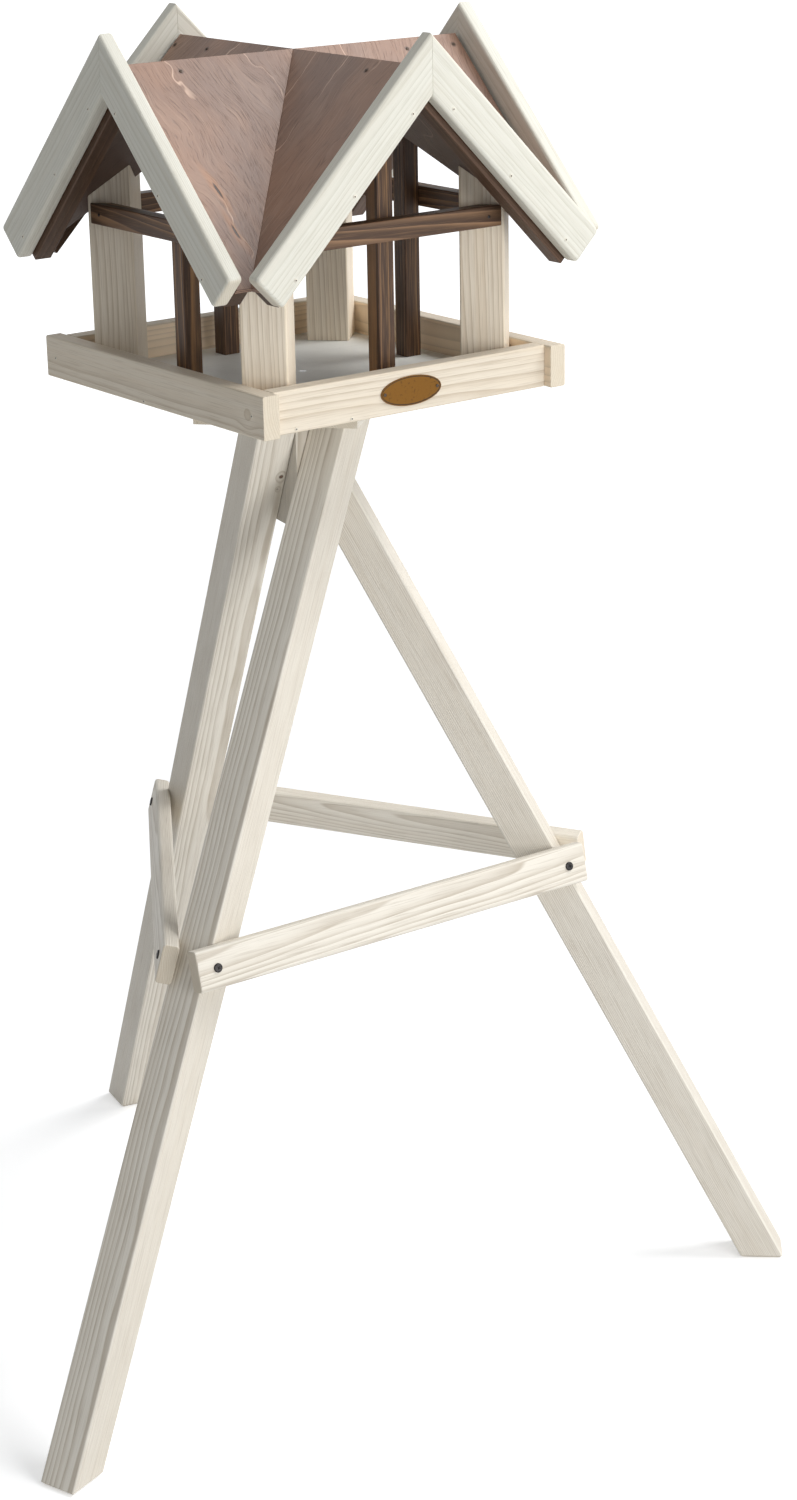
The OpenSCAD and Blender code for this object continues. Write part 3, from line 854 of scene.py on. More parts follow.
FaceTest = Callable[[bmesh.types.BMFace], bool]
EdgeTest = Callable[[bmesh.types.BMEdge], bool]


def choose(*objects: bpy.types.Object) -> None:
    """Selects some objects and nothing else, and makes the first one active.

    Args:
        objects: The objects, if there are any.
    """
    bpy.ops.object.select_all(action="DESELECT")
    for obj in objects:
        obj.select_set(True)
    if objects:
        bpy.context.view_layer.objects.active = objects[0]


class Workpiece:
    """A new piece, modelled with Blender's own operators."""

    def __init__(self, name: str) -> None:
        """Takes the object that an operator has just added.

        Args:
            name: The piece's name.
        """
        self.obj: bpy.types.Object = bpy.context.object
        self.obj.name = name
        self.obj.data.name = name
        bpy.ops.object.transform_apply(location=True, rotation=True, scale=True)

    @classmethod
    def block(cls, name: str, low: Vector, high: Vector) -> Workpiece:
        """Adds a block.

        Args:
            name: The piece's name.
            low: Its lowest corner.
            high: Its highest corner.

        Returns:
            The piece.
        """
        choose()
        bpy.ops.mesh.primitive_cube_add(size=1.0, location=(low + high) / 2, scale=high - low)
        return cls(name)

    @classmethod
    def disc(cls, name: str, radius: float, low: float, high: float, sides: int) -> Workpiece:
        """Adds a round blank that stands on Z.

        Args:
            name: The piece's name.
            radius: Its radius.
            low: Its lowest height.
            high: Its highest height.
            sides: How many sides stand for the circle.

        Returns:
            The piece.
        """
        choose()
        bpy.ops.mesh.primitive_cylinder_add(
            vertices=sides, radius=radius, depth=high - low, location=(0, 0, (low + high) / 2)
        )
        return cls(name)

    def _edit(
        self,
        work: Callable[..., Any],
        faces: FaceTest | None = None,
        edges: EdgeTest | None = None,
        **settings: Any,
    ) -> Workpiece:
        """Works on the mesh in edit mode.

        Args:
            work: The operator that does the work.
            faces: Test for the faces that it works on.
            edges: Test for the edges that it works on. Without a test it takes everything.
            settings: The operator's settings.

        Returns:
            The piece.
        """
        choose(self.obj)
        bpy.ops.object.mode_set(mode="EDIT")
        if faces or edges:
            bpy.ops.mesh.select_mode(type="FACE" if faces else "EDGE")
            bpy.ops.mesh.select_all(action="DESELECT")
            mesh = bmesh.from_edit_mesh(self.obj.data)
            mesh.normal_update()
            for item in mesh.faces if faces else mesh.edges:
                if (faces or edges)(item):
                    item.select_set(True)
            mesh.select_flush_mode()
            bmesh.update_edit_mesh(self.obj.data)
        else:
            bpy.ops.mesh.select_all(action="SELECT")
        work(**settings)
        bpy.ops.object.mode_set(mode="OBJECT")
        return self

    def _modify(self, kind: str, **settings: Any) -> Workpiece:
        """Adds a modifier and applies it.

        Args:
            kind: The modifier's type.
            settings: Its settings.

        Returns:
            The piece.
        """
        choose(self.obj)
        change = self.obj.modifiers.new(kind.lower(), kind)
        for key, value in settings.items():
            setattr(change, key, value)
        bpy.ops.object.modifier_apply(modifier=change.name)
        return self

    def bevel(self, edges: EdgeTest, width: float, segments: int = 4) -> Workpiece:
        """Rounds edges to a radius."""
        how = {"offset": width, "segments": segments, "affect": "EDGES"}
        return self._edit(bpy.ops.mesh.bevel, edges=edges, **how)

    def inset(self, faces: FaceTest, width: float, depth: float = 0.0) -> Workpiece:
        """Sets faces in, and moves them out by the depth, or in if it is below 0."""
        return self._edit(bpy.ops.mesh.inset, faces=faces, thickness=width, depth=depth)

    def extrude(self, faces: FaceTest, length: float) -> Workpiece:
        """Draws faces down along Z."""
        how = {"TRANSFORM_OT_translate": {"value": (0, 0, -length)}}
        return self._edit(bpy.ops.mesh.extrude_region_move, faces=faces, **how)

    def score(self, point: Vector, normal: Vector, **settings: bool) -> Workpiece:
        """Adds edges along a plane."""
        how = {"plane_co": point, "plane_no": normal, "threshold": TOUCH, **settings}
        return self._edit(bpy.ops.mesh.bisect, **how)

    def saw(self, point: Vector, outward: Vector) -> Workpiece:
        """Saws off everything past a plane and closes the cut."""
        return self.score(point, outward, use_fill=True, clear_outer=True)

    def shape(self, move: Callable[[Vector], Vector]) -> Workpiece:
        """Moves every point by a rule.

        Args:
            move: Gives the new place of a point.

        Returns:
            The piece.
        """
        for vertex in self.obj.data.vertices:
            vertex.co = move(vertex.co.copy())
        self.obj.data.update()
        return self

    def place(self, frame: Matrix) -> Workpiece:
        """Puts the mesh into a frame.

        Args:
            frame: The frame in the row frame.

        Returns:
            The piece.
        """
        self.obj.data.transform(frame)
        self.obj.data.update()
        return self

    def combine(self, other: Workpiece, operation: str = "DIFFERENCE") -> Workpiece:
        """Cuts another piece's shape out, or joins it on, and removes that piece.

        Args:
            other: The other piece.
            operation: What becomes of the two shapes.

        Returns:
            The piece.
        """
        self._modify("BOOLEAN", operation=operation, solver="EXACT", object=other.obj)
        bpy.data.objects.remove(other.obj)
        return self

    def ease(self, width: float, segments: int = 2, angle: float = 40.0) -> Workpiece:
        """Eases every edge that is still sharp, and shades the piece.

        Args:
            width: Radius of the easing.
            segments: How many strips it has.
            angle: Edges that turn less than this, in degrees, stay as they are.

        Returns:
            The piece.
        """
        self._modify(
            "BEVEL",
            width=width,
            segments=segments,
            limit_method="ANGLE",
            angle_limit=math.radians(angle),
            use_clamp_overlap=True,
        )
        return self.shade()

    def shade(self) -> Workpiece:
        """Shades rounded parts smooth and keeps flat ones flat.

        Returns:
            The piece.
        """
        choose(self.obj)
        bpy.ops.object.shade_smooth_by_angle(angle=math.radians(SMOOTH_ANGLE))
        return self._modify("WEIGHTED_NORMAL", keep_sharp=True)

    def copies(self, frames: Sequence[Matrix]) -> Workpiece:
        """Puts a copy of the piece, with its own mesh, into each frame and joins them.

        Args:
            frames: Where the copies go.

        Returns:
            The piece, which is now all of the copies.
        """
        made = []
        for frame in frames:
            copy = self.obj.copy()
            copy.data = self.obj.data.copy()
            copy.data.transform(frame)
            bpy.context.collection.objects.link(copy)
            made.append(copy)
        name = self.obj.name
        bpy.data.objects.remove(self.obj)
        choose(*made)
        bpy.ops.object.join()
        self.obj = made[0]
        self.obj.name = name
        return self

    def wear(
        self,
        material: bpy.types.Material,
        other: bpy.types.Material | None = None,
        special: Callable[[bpy.types.MeshPolygon], bool] = bool,
    ) -> Workpiece:
        """Gives the piece its material, and perhaps some of its faces another.

        Args:
            material: The material of most faces.
            other: The other material, if it has one.
            special: Test for the faces that get the other material.

        Returns:
            The piece.
        """
        mesh = self.obj.data
        mesh.materials.clear()
        mesh.materials.append(material)
        if other is not None:
            mesh.materials.append(other)
            for face in mesh.polygons:
                face.material_index = int(special(face))
        return self

    def stands_for(self, node: str, slot: Slot) -> None:
        """Puts the piece in place of a CAD node, which it hides.

        Args:
            node: The node that it stands for.
            slot: The record's material slot. It is not used.
        """
        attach(self.obj, BODY)
        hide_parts(node)
        LOG.info("%s stands for %s", self.obj.name, node)


def parallel_to(direction: Vector) -> EdgeTest:
    """Makes a test for edges that run along a direction.

    Args:
        direction: The direction, of length 1.

    Returns:
        The test.
    """

    def test(edge: bmesh.types.BMEdge) -> bool:
        """Tells whether an edge runs that way."""
        run = edge.verts[1].co - edge.verts[0].co
        return run.length > 0 and abs(run.normalized().dot(direction)) > PARALLEL

    return test


def round_top(height: float) -> EdgeTest:
    """Makes a test for the edges round the top of a blank that is as high as this."""
    return lambda edge: all(vertex.co.z > height / 2 for vertex in edge.verts)


def looks_up(face: bmesh.types.BMFace | bpy.types.MeshPolygon) -> bool:
    """Tells whether a face looks along +Z."""
    return face.normal.z > SQUARE


def underside(radius: float) -> FaceTest:
    """Makes a test for downward faces that lie within a radius of the Z axis."""
    reach = PLAY * radius
    return lambda f: f.normal.z < -SQUARE and all(v.co.to_2d().length < reach for v in f.verts)


@dataclass
class Stick:
    """A squared stick or board, rounded along its length and sawn at its ends.

    Attributes:
        node: The CAD node that it stands for.
        grain: Its frame, corners and place in the timber.
        edge: Radius of its long edges.
        cuts: Planes that it is sawn along, as points and outward normals.
        ease: Radius at the edges of the cuts.
    """

    node: str
    grain: Grain
    edge: float
    cuts: Sequence[tuple[Vector, Vector]] = ()
    ease: float = 0.0006

    def blank(self) -> Workpiece:
        """Makes the squared blank, in its own frame."""
        return Workpiece.block(f"{self.node}_finished", self.grain.low, self.grain.high)

    def sawn(self, piece: Workpiece) -> Workpiece:
        """Puts the rounded blank into the row frame and saws it.

        Args:
            piece: The blank.

        Returns:
            The piece, with its sawn edges still sharp.
        """
        piece.place(self.grain.frame)
        for point, outward in self.cuts:
            piece.saw(point, outward)
        return piece

    def model(self) -> Workpiece:
        """Rounds and saws the stick.

        Returns:
            The piece, in the row frame, with its sawn edges still sharp.
        """
        piece = self.blank()
        if self.edge:
            piece.bevel(parallel_to(Vector((1, 0, 0))), self.edge)
        return self.sawn(piece)

    def build(self, finish: Timber | Veneer, piece: Workpiece | None = None) -> None:
        """Eases the piece, dresses it and puts it in place of its node.

        Args:
            finish: Its finish.
            piece: The modelled piece, or None for the plain stick.
        """
        piece = (piece or self.model()).ease(self.ease)
        piece.wear(finish.material(self.node, self.grain)).stands_for(self.node, finish.slot)


def dress(node: bpy.types.Object, material: bpy.types.Material) -> None:
    """Gives a CAD node that stays a better material.

    Args:
        node: The node's object.
        material: The material.
    """
    for slot in node.material_slots:
        slot.material = material
    LOG.info("%s keeps its shape", node.name)


def plane(frame: Matrix, point: Sequence[float], outward: Sequence[float]) -> tuple[Vector, Vector]:
    """Moves a cutting plane, a point and a normal, from a frame into the row frame."""
    return frame @ Vector(point), (frame.to_3x3() @ Vector(outward)).normalized()


# Fasteners


@dataclass(frozen=True)
class Nails:
    """Round nails with slightly domed heads.

    Attributes:
        node: The CAD node that they stand for.
        frames: Where they go, with Z out of the wood and the origin on its face.
        steel: Their finish.
        rim: Finish of the paint round the middle of the head, if it is painted over.
        head: Radius of the head.
        proud: Height of the head.
        shank: Radius of the shank.
        length: Length of the shank.
        dome: Radius of the head's upper edge.
        band: Width of the head's face round its middle.
        dip: How far the middle lies under that.
        sides: How many sides stand for the circle.
        strips: How many strips the dome has.
    """

    node: str
    frames: Sequence[Matrix]
    steel: Metal = NAIL
    rim: Metal | None = None
    head: float = 0.0018
    proud: float = 0.0006
    shank: float = 0.0010
    length: float = 0.006
    dome: float = 0.00022
    band: float = 0.0008
    dip: float = 0.0001
    sides: int = 20
    strips: int = 2

    def build(self) -> None:
        """Models one nail, copies it to every place and puts them in place of their node."""
        name = f"{self.node}_finished"
        piece = Workpiece.disc(name, self.head, 0.0, self.proud, self.sides)
        piece.bevel(round_top(self.proud), self.dome, self.strips)
        piece.inset(looks_up, self.band, -self.dip)
        piece.inset(underside(self.head), self.head - self.shank)
        piece.extrude(underside(self.shank), self.length)
        piece.shade()
        piece.wear(
            self.steel.material(self.node),
            self.rim and self.rim.material(f"{self.node}_rim"),
            lambda f: not looks_up(f) or f.center.to_2d().length > NEAR,
        )
        piece.copies(self.frames).stands_for(self.node, self.steel.slot)


@dataclass(frozen=True)
class Screw:
    """A countersunk screw with a cross recess.

    Attributes:
        steel: Its finish.
        head: Radius of the head.
        shank: Radius of the shank.
        length: Length of the shank under the head.
        arm: Half the length of the recess's arms.
        arm_width: Width of the arms.
        deep: Depth of the recess.
        ease: Radius at the edges.
        taper: Share of an arm's length that is left at its bottom.
        narrowing: Share of its width that is left there.
        over: How far the cutter of the recess stands over the head.
        sides: How many sides stand for the circle.
    """

    steel: Metal
    head: float
    shank: float
    length: float
    arm: float
    arm_width: float
    deep: float
    ease: float
    taper: float = 0.35
    narrowing: float = 0.8
    over: float = 0.001
    sides: int = 36

    @property
    def top(self) -> float:
        """Height of the head's top."""
        return 0.0

    def blank(self, name: str) -> Workpiece:
        """Makes the head, with a countersunk underside.

        Args:
            name: The screw's name.

        Returns:
            The head, with its top at z = 0.
        """
        deep = self.head - self.shank
        share = self.shank / self.head
        piece = Workpiece.disc(name, self.head, -deep, 0.0, self.sides)
        return piece.shape(
            lambda p: Vector((p.x * share, p.y * share, p.z)) if p.z < -deep / 2 else p
        )

    def recess(self) -> Workpiece:
        """Makes the cutter of the recess.

        Returns:
            Two crossed arms as one piece.
        """
        top, bottom = self.top + self.over, self.top - self.deep
        half = self.arm_width / 2
        arms = []
        for turn in (0, 90):
            arm = Workpiece.block(
                "arm", Vector((-self.arm, -half, bottom)), Vector((self.arm, half, top))
            )
            arm.shape(
                lambda p: Vector((p.x * self.taper, p.y * self.narrowing, p.z))
                if p.z < (top + bottom) / 2
                else p
            )
            arms.append(arm.place(turned(turn, "Z")))
        return arms[0].combine(arms[1], "UNION")

    def build(self, node: str, frames: Sequence[Matrix]) -> None:
        """Models one screw, copies it to every place and puts them in place of their node.

        Args:
            node: The CAD node that they stand for.
            frames: Where they go.
        """
        piece = self.blank(f"{node}_finished").extrude(underside(self.shank), self.length)
        piece.combine(self.recess()).ease(self.ease, 1).wear(self.steel.material(node))
        piece.copies(frames).stands_for(node, self.steel.slot)


@dataclass(frozen=True)
class PanScrew(Screw):
    """A screw with a domed round head.

    Attributes:
        sides: How many sides stand for the circle.
        tall: Height of the head.
        dome: Radius of its upper edge.
        strips: How many strips the dome has.
    """

    sides: int = 40
    tall: float = 0.002
    dome: float = 0.0013
    strips: int = 5

    @property
    def top(self) -> float:
        """Height of the head's top."""
        return self.tall

    def blank(self, name: str) -> Workpiece:
        """Makes the head, with a flat underside.

        Args:
            name: The screw's name.

        Returns:
            The head, with its underside at z = 0.
        """
        piece = Workpiece.disc(name, self.head, 0.0, self.tall, self.sides)
        piece.bevel(round_top(self.tall), self.dome, self.strips)
        return piece.inset(underside(self.head), self.head - self.shank)


FLOOR_SCREW = Screw(
    steel=BRIGHT_SCREW,
    head=0.004,
    shank=0.002,
    length=0.008,
    arm=0.0023,
    arm_width=0.0008,
    deep=0.0013,
    ease=0.00006,
)
BRACE_SCREW = PanScrew(
    steel=DARK_SCREW,
    head=0.005,
    shank=0.0025,
    length=0.015,
    arm=0.0026,
    arm_width=0.0009,
    deep=0.0014,
    ease=0.00008,
)


# Sub-assemblies


@dataclass
class Tray:
    """The floor panel, the four rim boards round it and their nails and screws.

    Attributes:
        house: Frame of the house, with its origin under the middle of the tray.
        nodes: The CAD nodes by name.
        width: Outside width along X.
        depth: Outside depth along Y.
        height: Height of the rim boards.
        thickness: Thickness of the rim boards.
        setback: Setback of the end boards from the ends of the side boards.
        floor: Thickness of the floor panel.
        edge: Radius of the boards' long edges.
        post_centre: Distance of the corner posts' middles from the house's middle, on X and Y.
        centre_post: Distance of the centre posts from the house's middle.
        screw_x: Sideways place of the screw into the stand.
        screw_y: Place of the same screw along Y.
        nail_shares: Places of the front board's nails, as shares of half its length.
        nail_offset: Distance of the side boards' lower nails from the boards' middle.
        swirl: Place along the left board and up it of a knot that never broke the face.
        swirl_radius: Radius of that knot.
        screw_turn: Turn of the middle screw's recess in degrees.
    """

    house: Matrix
    nodes: Mapping[str, bpy.types.Object]
    width: float = 0.392
    depth: float = 0.418
    height: float = 0.045
    thickness: float = 0.020
    setback: float = 0.010
    floor: float = 0.008
    edge: float = 0.002
    post_centre: float = 0.141059
    centre_post: float = 0.145
    screw_x: float = 0.007
    screw_y: float = 0.009
    nail_shares: tuple[float, float] = (0.85, 0.455)
    nail_offset: float = 0.012
    swirl: tuple[float, float] = (-0.181, 0.017)
    swirl_radius: float = 0.006
    screw_turn: float = 25.0

    @property
    def half_width(self) -> float:
        """Half of the inner width."""
        return self.width / 2 - self.thickness

    @property
    def front(self) -> float:
        """Distance of the end boards' outer faces from the middle."""
        return self.depth / 2 - self.setback

    def build(self) -> None:
        """Builds the boards, the nails and the screws."""
        self._boards()
        self._floor()
        self._nails()
        self._screws()

    def _boards(self) -> None:
        """Builds the end boards, and the long side boards that stand past them."""
        for node, out, seed in (("rim_front", -1, 3.1), ("rim_back", 1, 8.4)):
            self._board(
                node, self.house, self.half_width, self.front, out,
                seed=seed, pith=(-0.09 * out, -0.03), slant=0.006,
            )
        along, up = self.swirl
        swirl = Knot(Vector((along, self.width / 2, up)), self.swirl_radius, 0.0)
        side = self.house @ turned(90, "Z")
        for node, out, seed, knots in (
            ("rim_left", 1, 5.6, (swirl,)),
            ("rim_right", -1, 1.9, ()),
        ):
            self._board(
                node, side, self.depth / 2, self.width / 2, out,
                seed=seed, pith=(-0.07 * out, 0.012), slant=-0.01, sway=0.016, knots=knots,
            )

    def _board(
        self, node: str, frame: Matrix, reach: float, far: float, out: int, **wood: Any
    ) -> None:
        """Builds a rim board, whose inner face is bare of glaze.

        Args:
            node: The CAD node that it stands for.
            frame: A frame with X along the board.
            reach: Half of its length.
            far: Distance of its outer face from the middle.
            out: The side of the frame that it lies on, 1 for +Y or -1 for -Y.
            wood: How it lies in the timber.
        """
        low, high = sorted((out * far, out * (far - self.thickness)))
        grain = Grain(
            frame,
            Vector((-reach, low, 0)),
            Vector((reach, high, self.height)),
            bare=Vector((0, -out, 0)),
            **wood,
        )
        Stick(node, grain, self.edge).build(GLAZED)

    def _floor(self) -> None:
        """Dresses the floor panel, whose holes and countersinks are in the CAD."""
        grain = Grain(self.house, Vector((0, 0, 0)), Vector((0, 0, self.floor)))
        dress(self.nodes["floor_panel"], FLOOR_FACE.material("floor_panel", grain))

    def _nails(self) -> None:
        """Builds the nails through the rim boards."""
        places = []
        for x in (-1, 1):
            side, turn = x * self.width / 2, turned(90 * x, "Y")
            for y in (-1, 1):
                end = y * (self.front - self.thickness / 2)
                places.append(moved(side, end, self.height / 2) @ turn)
            places.append(moved(side, -x * self.nail_offset, self.floor / 2) @ turn)
        for share in self.nail_shares:
            for y in (-1, 1):
                at = moved(y * share * self.half_width, y * self.front, self.floor / 2)
                places.append(at @ turned(-90 * y, "X"))
        Nails("rim_nails", [self.house @ place for place in places], rim=GLAZE).build()

    def _screws(self) -> None:
        """Builds the countersunk screws of the floor panel."""
        places = [(x * self.post_centre, y * self.post_centre) for x in (-1, 1) for y in (-1, 1)]
        places += [(0, y * self.centre_post) for y in (-1, 1)]
        places += [(x * self.centre_post, 0) for x in (-1, 1)]
        frames = [self.house @ moved(x, y, 0) @ turned(180, "X") for x, y in places]
        middle = moved(self.screw_x, self.screw_y, self.floor)
        frames.append(self.house @ middle @ turned(self.screw_turn, "Z"))
        FLOOR_SCREW.build("floor_screws", frames)


@dataclass
class NamePlate:
    """The bare oval plate on the front board, with a pin at each end.

    Attributes:
        house: Frame of the house.
        front: Distance of the front board's face from the house's middle.
        middle_x: Sideways place of the plate's middle.
        middle_z: Height of the plate's middle.
        half_length: Half of its length.
        half_height: Half of its height.
        thickness: Its thickness.
        pin_inset: Distance of the pins from the plate's ends.
        rim: Width of the bright rim.
        line: Width of the dark line within the rim, which slopes down to the field.
        sunk: How far the field lies under the rim.
        edge: Radius of the plate's edge.
        least_turn: Edges that turn less than this, in degrees, aren't eased.
        sides: How many sides stand for its outline.
    """

    house: Matrix
    front: float = 0.199
    middle_x: float = -0.004
    middle_z: float = 0.0225
    half_length: float = 0.039
    half_height: float = 0.0155
    thickness: float = 0.0012
    pin_inset: float = 0.005
    rim: float = 0.0009
    line: float = 0.0010
    sunk: float = 0.0003
    edge: float = 0.00018
    least_turn: float = 25.0
    sides: int = 72

    def build(self) -> None:
        """Builds the plate and its pins."""
        frame = self.house @ moved(self.middle_x, -self.front, self.middle_z) @ turned(90, "X")
        plate = Workpiece.disc("name_plate_finished", 1.0, 0.0, self.thickness, self.sides)
        plate.shape(lambda p: Vector((p.x * self.half_length, p.y * self.half_height, p.z)))
        plate.inset(looks_up, self.rim)
        plate.inset(lambda f: looks_up(f) and len(f.verts) == self.sides, self.line, -self.sunk)
        plate.ease(self.edge, angle=self.least_turn)
        plate.wear(
            BRONZE.material("name_plate", frame),
            BRONZE_LINE.material("name_plate_line", frame),
            self._in_line,
        )
        plate.place(frame).stands_for("name_plate", BRONZE.slot)
        pins = [
            frame @ moved(side * (self.half_length - self.pin_inset), 0, self.thickness)
            for side in (-1, 1)
        ]
        Nails("name_plate_pins", pins, PIN).build()

    def _in_line(self, face: bpy.types.MeshPolygon) -> bool:
        """Tells whether a face belongs to the dark line."""
        halfway = self.thickness - self.sunk / 2
        return looks_up(face) and abs(face.center.z - halfway) < NEAR


@dataclass
class Frame:
    """The posts and the crossbars under the roof.

    Attributes:
        house: Frame of the house.
        post: Side of the corner posts.
        post_centre: Distance of their middles from the house's middle, on X and Y.
        post_edge: Radius of their arrises.
        centre_post: Side of the centre posts.
        centre_place: Distance of the centre posts from the house's middle.
        bar_face: Distance of the crossbars' outer faces from the house's middle.
        bar_thickness: Thickness of the crossbars.
        bar_height: Height of the crossbars.
        bar_top: Height of their tops.
        bar_end: Distance of the bars' outer corners from the posts' middles, along the bar.
        nail_inset: Distance of their nails from these corners.
        floor: Height of the floor panel's top.
        roof: Height where the undersides of two slopes would meet.
        centre_edge: Radius of the centre posts' arrises.
        bar_edge: Radius of the crossbars' arrises.
        sawn: Radius at the sawn edges of both.
    """

    house: Matrix
    post: float = 0.048
    post_centre: float = 0.141059
    post_edge: float = 0.002
    centre_post: float = 0.020
    centre_place: float = 0.145
    bar_face: float = 0.173
    bar_thickness: float = 0.018
    bar_height: float = 0.022
    bar_top: float = 0.195
    bar_end: float = 0.002
    nail_inset: float = 0.017
    floor: float = 0.008
    roof: float = 0.3431005
    centre_edge: float = 0.0008
    bar_edge: float = 0.0012
    sawn: float = 0.0004

    def build(self) -> None:
        """Builds the posts, the crossbars and the nails in these."""
        self._corner_posts()
        for gable in Gable:
            self._centre_post(gable)
            self._crossbar(gable)
        reach = self.post_centre - self.bar_end - self.nail_inset
        frames = [
            self.house
            @ turned(gable.value, "Z")
            @ moved(side * reach, -self.bar_face, self.bar_top - self.bar_height / 2)
            @ turned(90, "X")
            for gable in Gable
            for side in (-1, 1)
        ]
        Nails("bar_nails", frames, DARK_SCREW).build()

    def _corner_posts(self) -> None:
        """Builds the corner posts, whose tops are notched for the valleys of the roof."""
        # The tones are painted light and shade: they lighten the posts that the roof shades and
        # darken the back-left one.
        for node, x, y, seed, tone in (
            ("corner_post_front_left", -1, -1, 2.7, 1.2),
            ("corner_post_front_right", 1, -1, 6.3, 1.2),
            ("corner_post_back_right", 1, 1, 9.8, 1.28),
            ("corner_post_back_left", -1, 1, 4.2, 0.95),
        ):
            foot = self.house @ moved(x * self.post_centre, y * self.post_centre, 0)
            frame = foot @ turned(45, "Z") @ turned(-90, "Y")
            top = self.roof - self.post_centre + self.post / math.sqrt(2)
            half = self.post / 2
            grain = Grain(
                frame,
                Vector((self.floor, -half, -half)),
                Vector((top, half, half)),
                seed,
                pith=(0.05, 0.12),
                tone=tone,
                sway=0.010,
            )
            stick = Stick(node, grain, self.post_edge)
            piece = stick.model()
            middle = self.house.to_translation()
            piece.score(middle, Vector((1, -x * y, 0)).normalized())
            piece.shape(lambda p, m=middle, t=top: self._under_roof(p, m, t))
            stick.build(GLAZED, piece)

    def _under_roof(self, point: Vector, middle: Vector, top: float) -> Vector:
        """Lowers a point of a post's top onto the underside of the roof.

        Args:
            point: The point.
            middle: Origin of the house.
            top: Height of the post's top before it is notched.

        Returns:
            Its new place.
        """
        if point.z - middle.z < top - NEAR:
            return point
        nearer = min(abs(point.x - middle.x), abs(point.y - middle.y))
        return Vector((point.x, point.y, middle.z + self.roof - nearer))

    def _centre_post(self, gable: Gable) -> None:
        """Builds the thin post behind a crossbar.

        Args:
            gable: Its gable.
        """
        side = self.house @ turned(gable.value, "Z")
        half = self.centre_post / 2
        grain = Grain(
            side @ moved(0, -self.centre_place, 0) @ turned(-90, "Y"),
            Vector((self.floor, -half, -half)),
            Vector((self.roof, half, half)),
            1.3 + gable.value / 40,
            pith=(0.008, 0.045),
            sway=0.018,
        )
        cuts = [plane(side, (0, 0, self.roof), (s, 0, 1)) for s in (-1, 1)]
        post = Stick(f"centre_post_{gable.label}", grain, self.centre_edge, cuts, self.sawn)
        post.build(STREAKED)

    def _crossbar(self, gable: Gable) -> None:
        """Builds the crossbar between two corner posts.

        Args:
            gable: Its gable.
        """
        side = self.house @ turned(gable.value, "Z")
        arris = self.post_centre + self.post / math.sqrt(2)
        grain = Grain(
            side,
            Vector((-self.post_centre, -self.bar_face, self.bar_top - self.bar_height)),
            Vector((self.post_centre, -self.bar_face + self.bar_thickness, self.bar_top)),
            7.7 + gable.value / 30,
            pith=(0.03, -0.02),
            slant=0.04,
            sway=0.016,
        )
        cuts = [plane(side, (s * self.post_centre, -arris, 0), (s, 1, 0)) for s in (-1, 1)]
        bar = Stick(f"crossbar_{gable.label}", grain, self.bar_edge, cuts, self.sawn)
        bar.build(STAINED)


@dataclass(frozen=True)
class Slope:
    """One slope of one gable.

    Attributes:
        gable: The gable.
        half: Which of its slopes.
        side: Frame of the gable, which looks along -Y.
        frame: Frame on the slope: X down it, Z out of it, and the origin on the ridge.
    """

    gable: Gable
    half: Half
    side: Matrix
    frame: Matrix

    @property
    def name(self) -> str:
        """The slope's name as the node names have it."""
        return f"{self.gable.label}_{self.half.label}"

    @property
    def out(self) -> int:
        """The side on which the gable lies along the slope frame's Y."""
        return -self.half.value

    @property
    def middle_cut(self) -> tuple[Vector, Vector]:
        """The plane where the two halves of a gable meet."""
        return plane(self.side, (0, 0, 0), (-self.half.value, 0, 0))

    def span(self, near: float, far: float) -> list[float]:
        """Range along Y of what lies between two distances from the house's middle."""
        return sorted((self.out * near, self.out * far))

    def seed(self, piece: float) -> float:
        """A different shift of the pattern for each piece."""
        return piece + self.gable.value / 37 + 1.7 * self.half.value


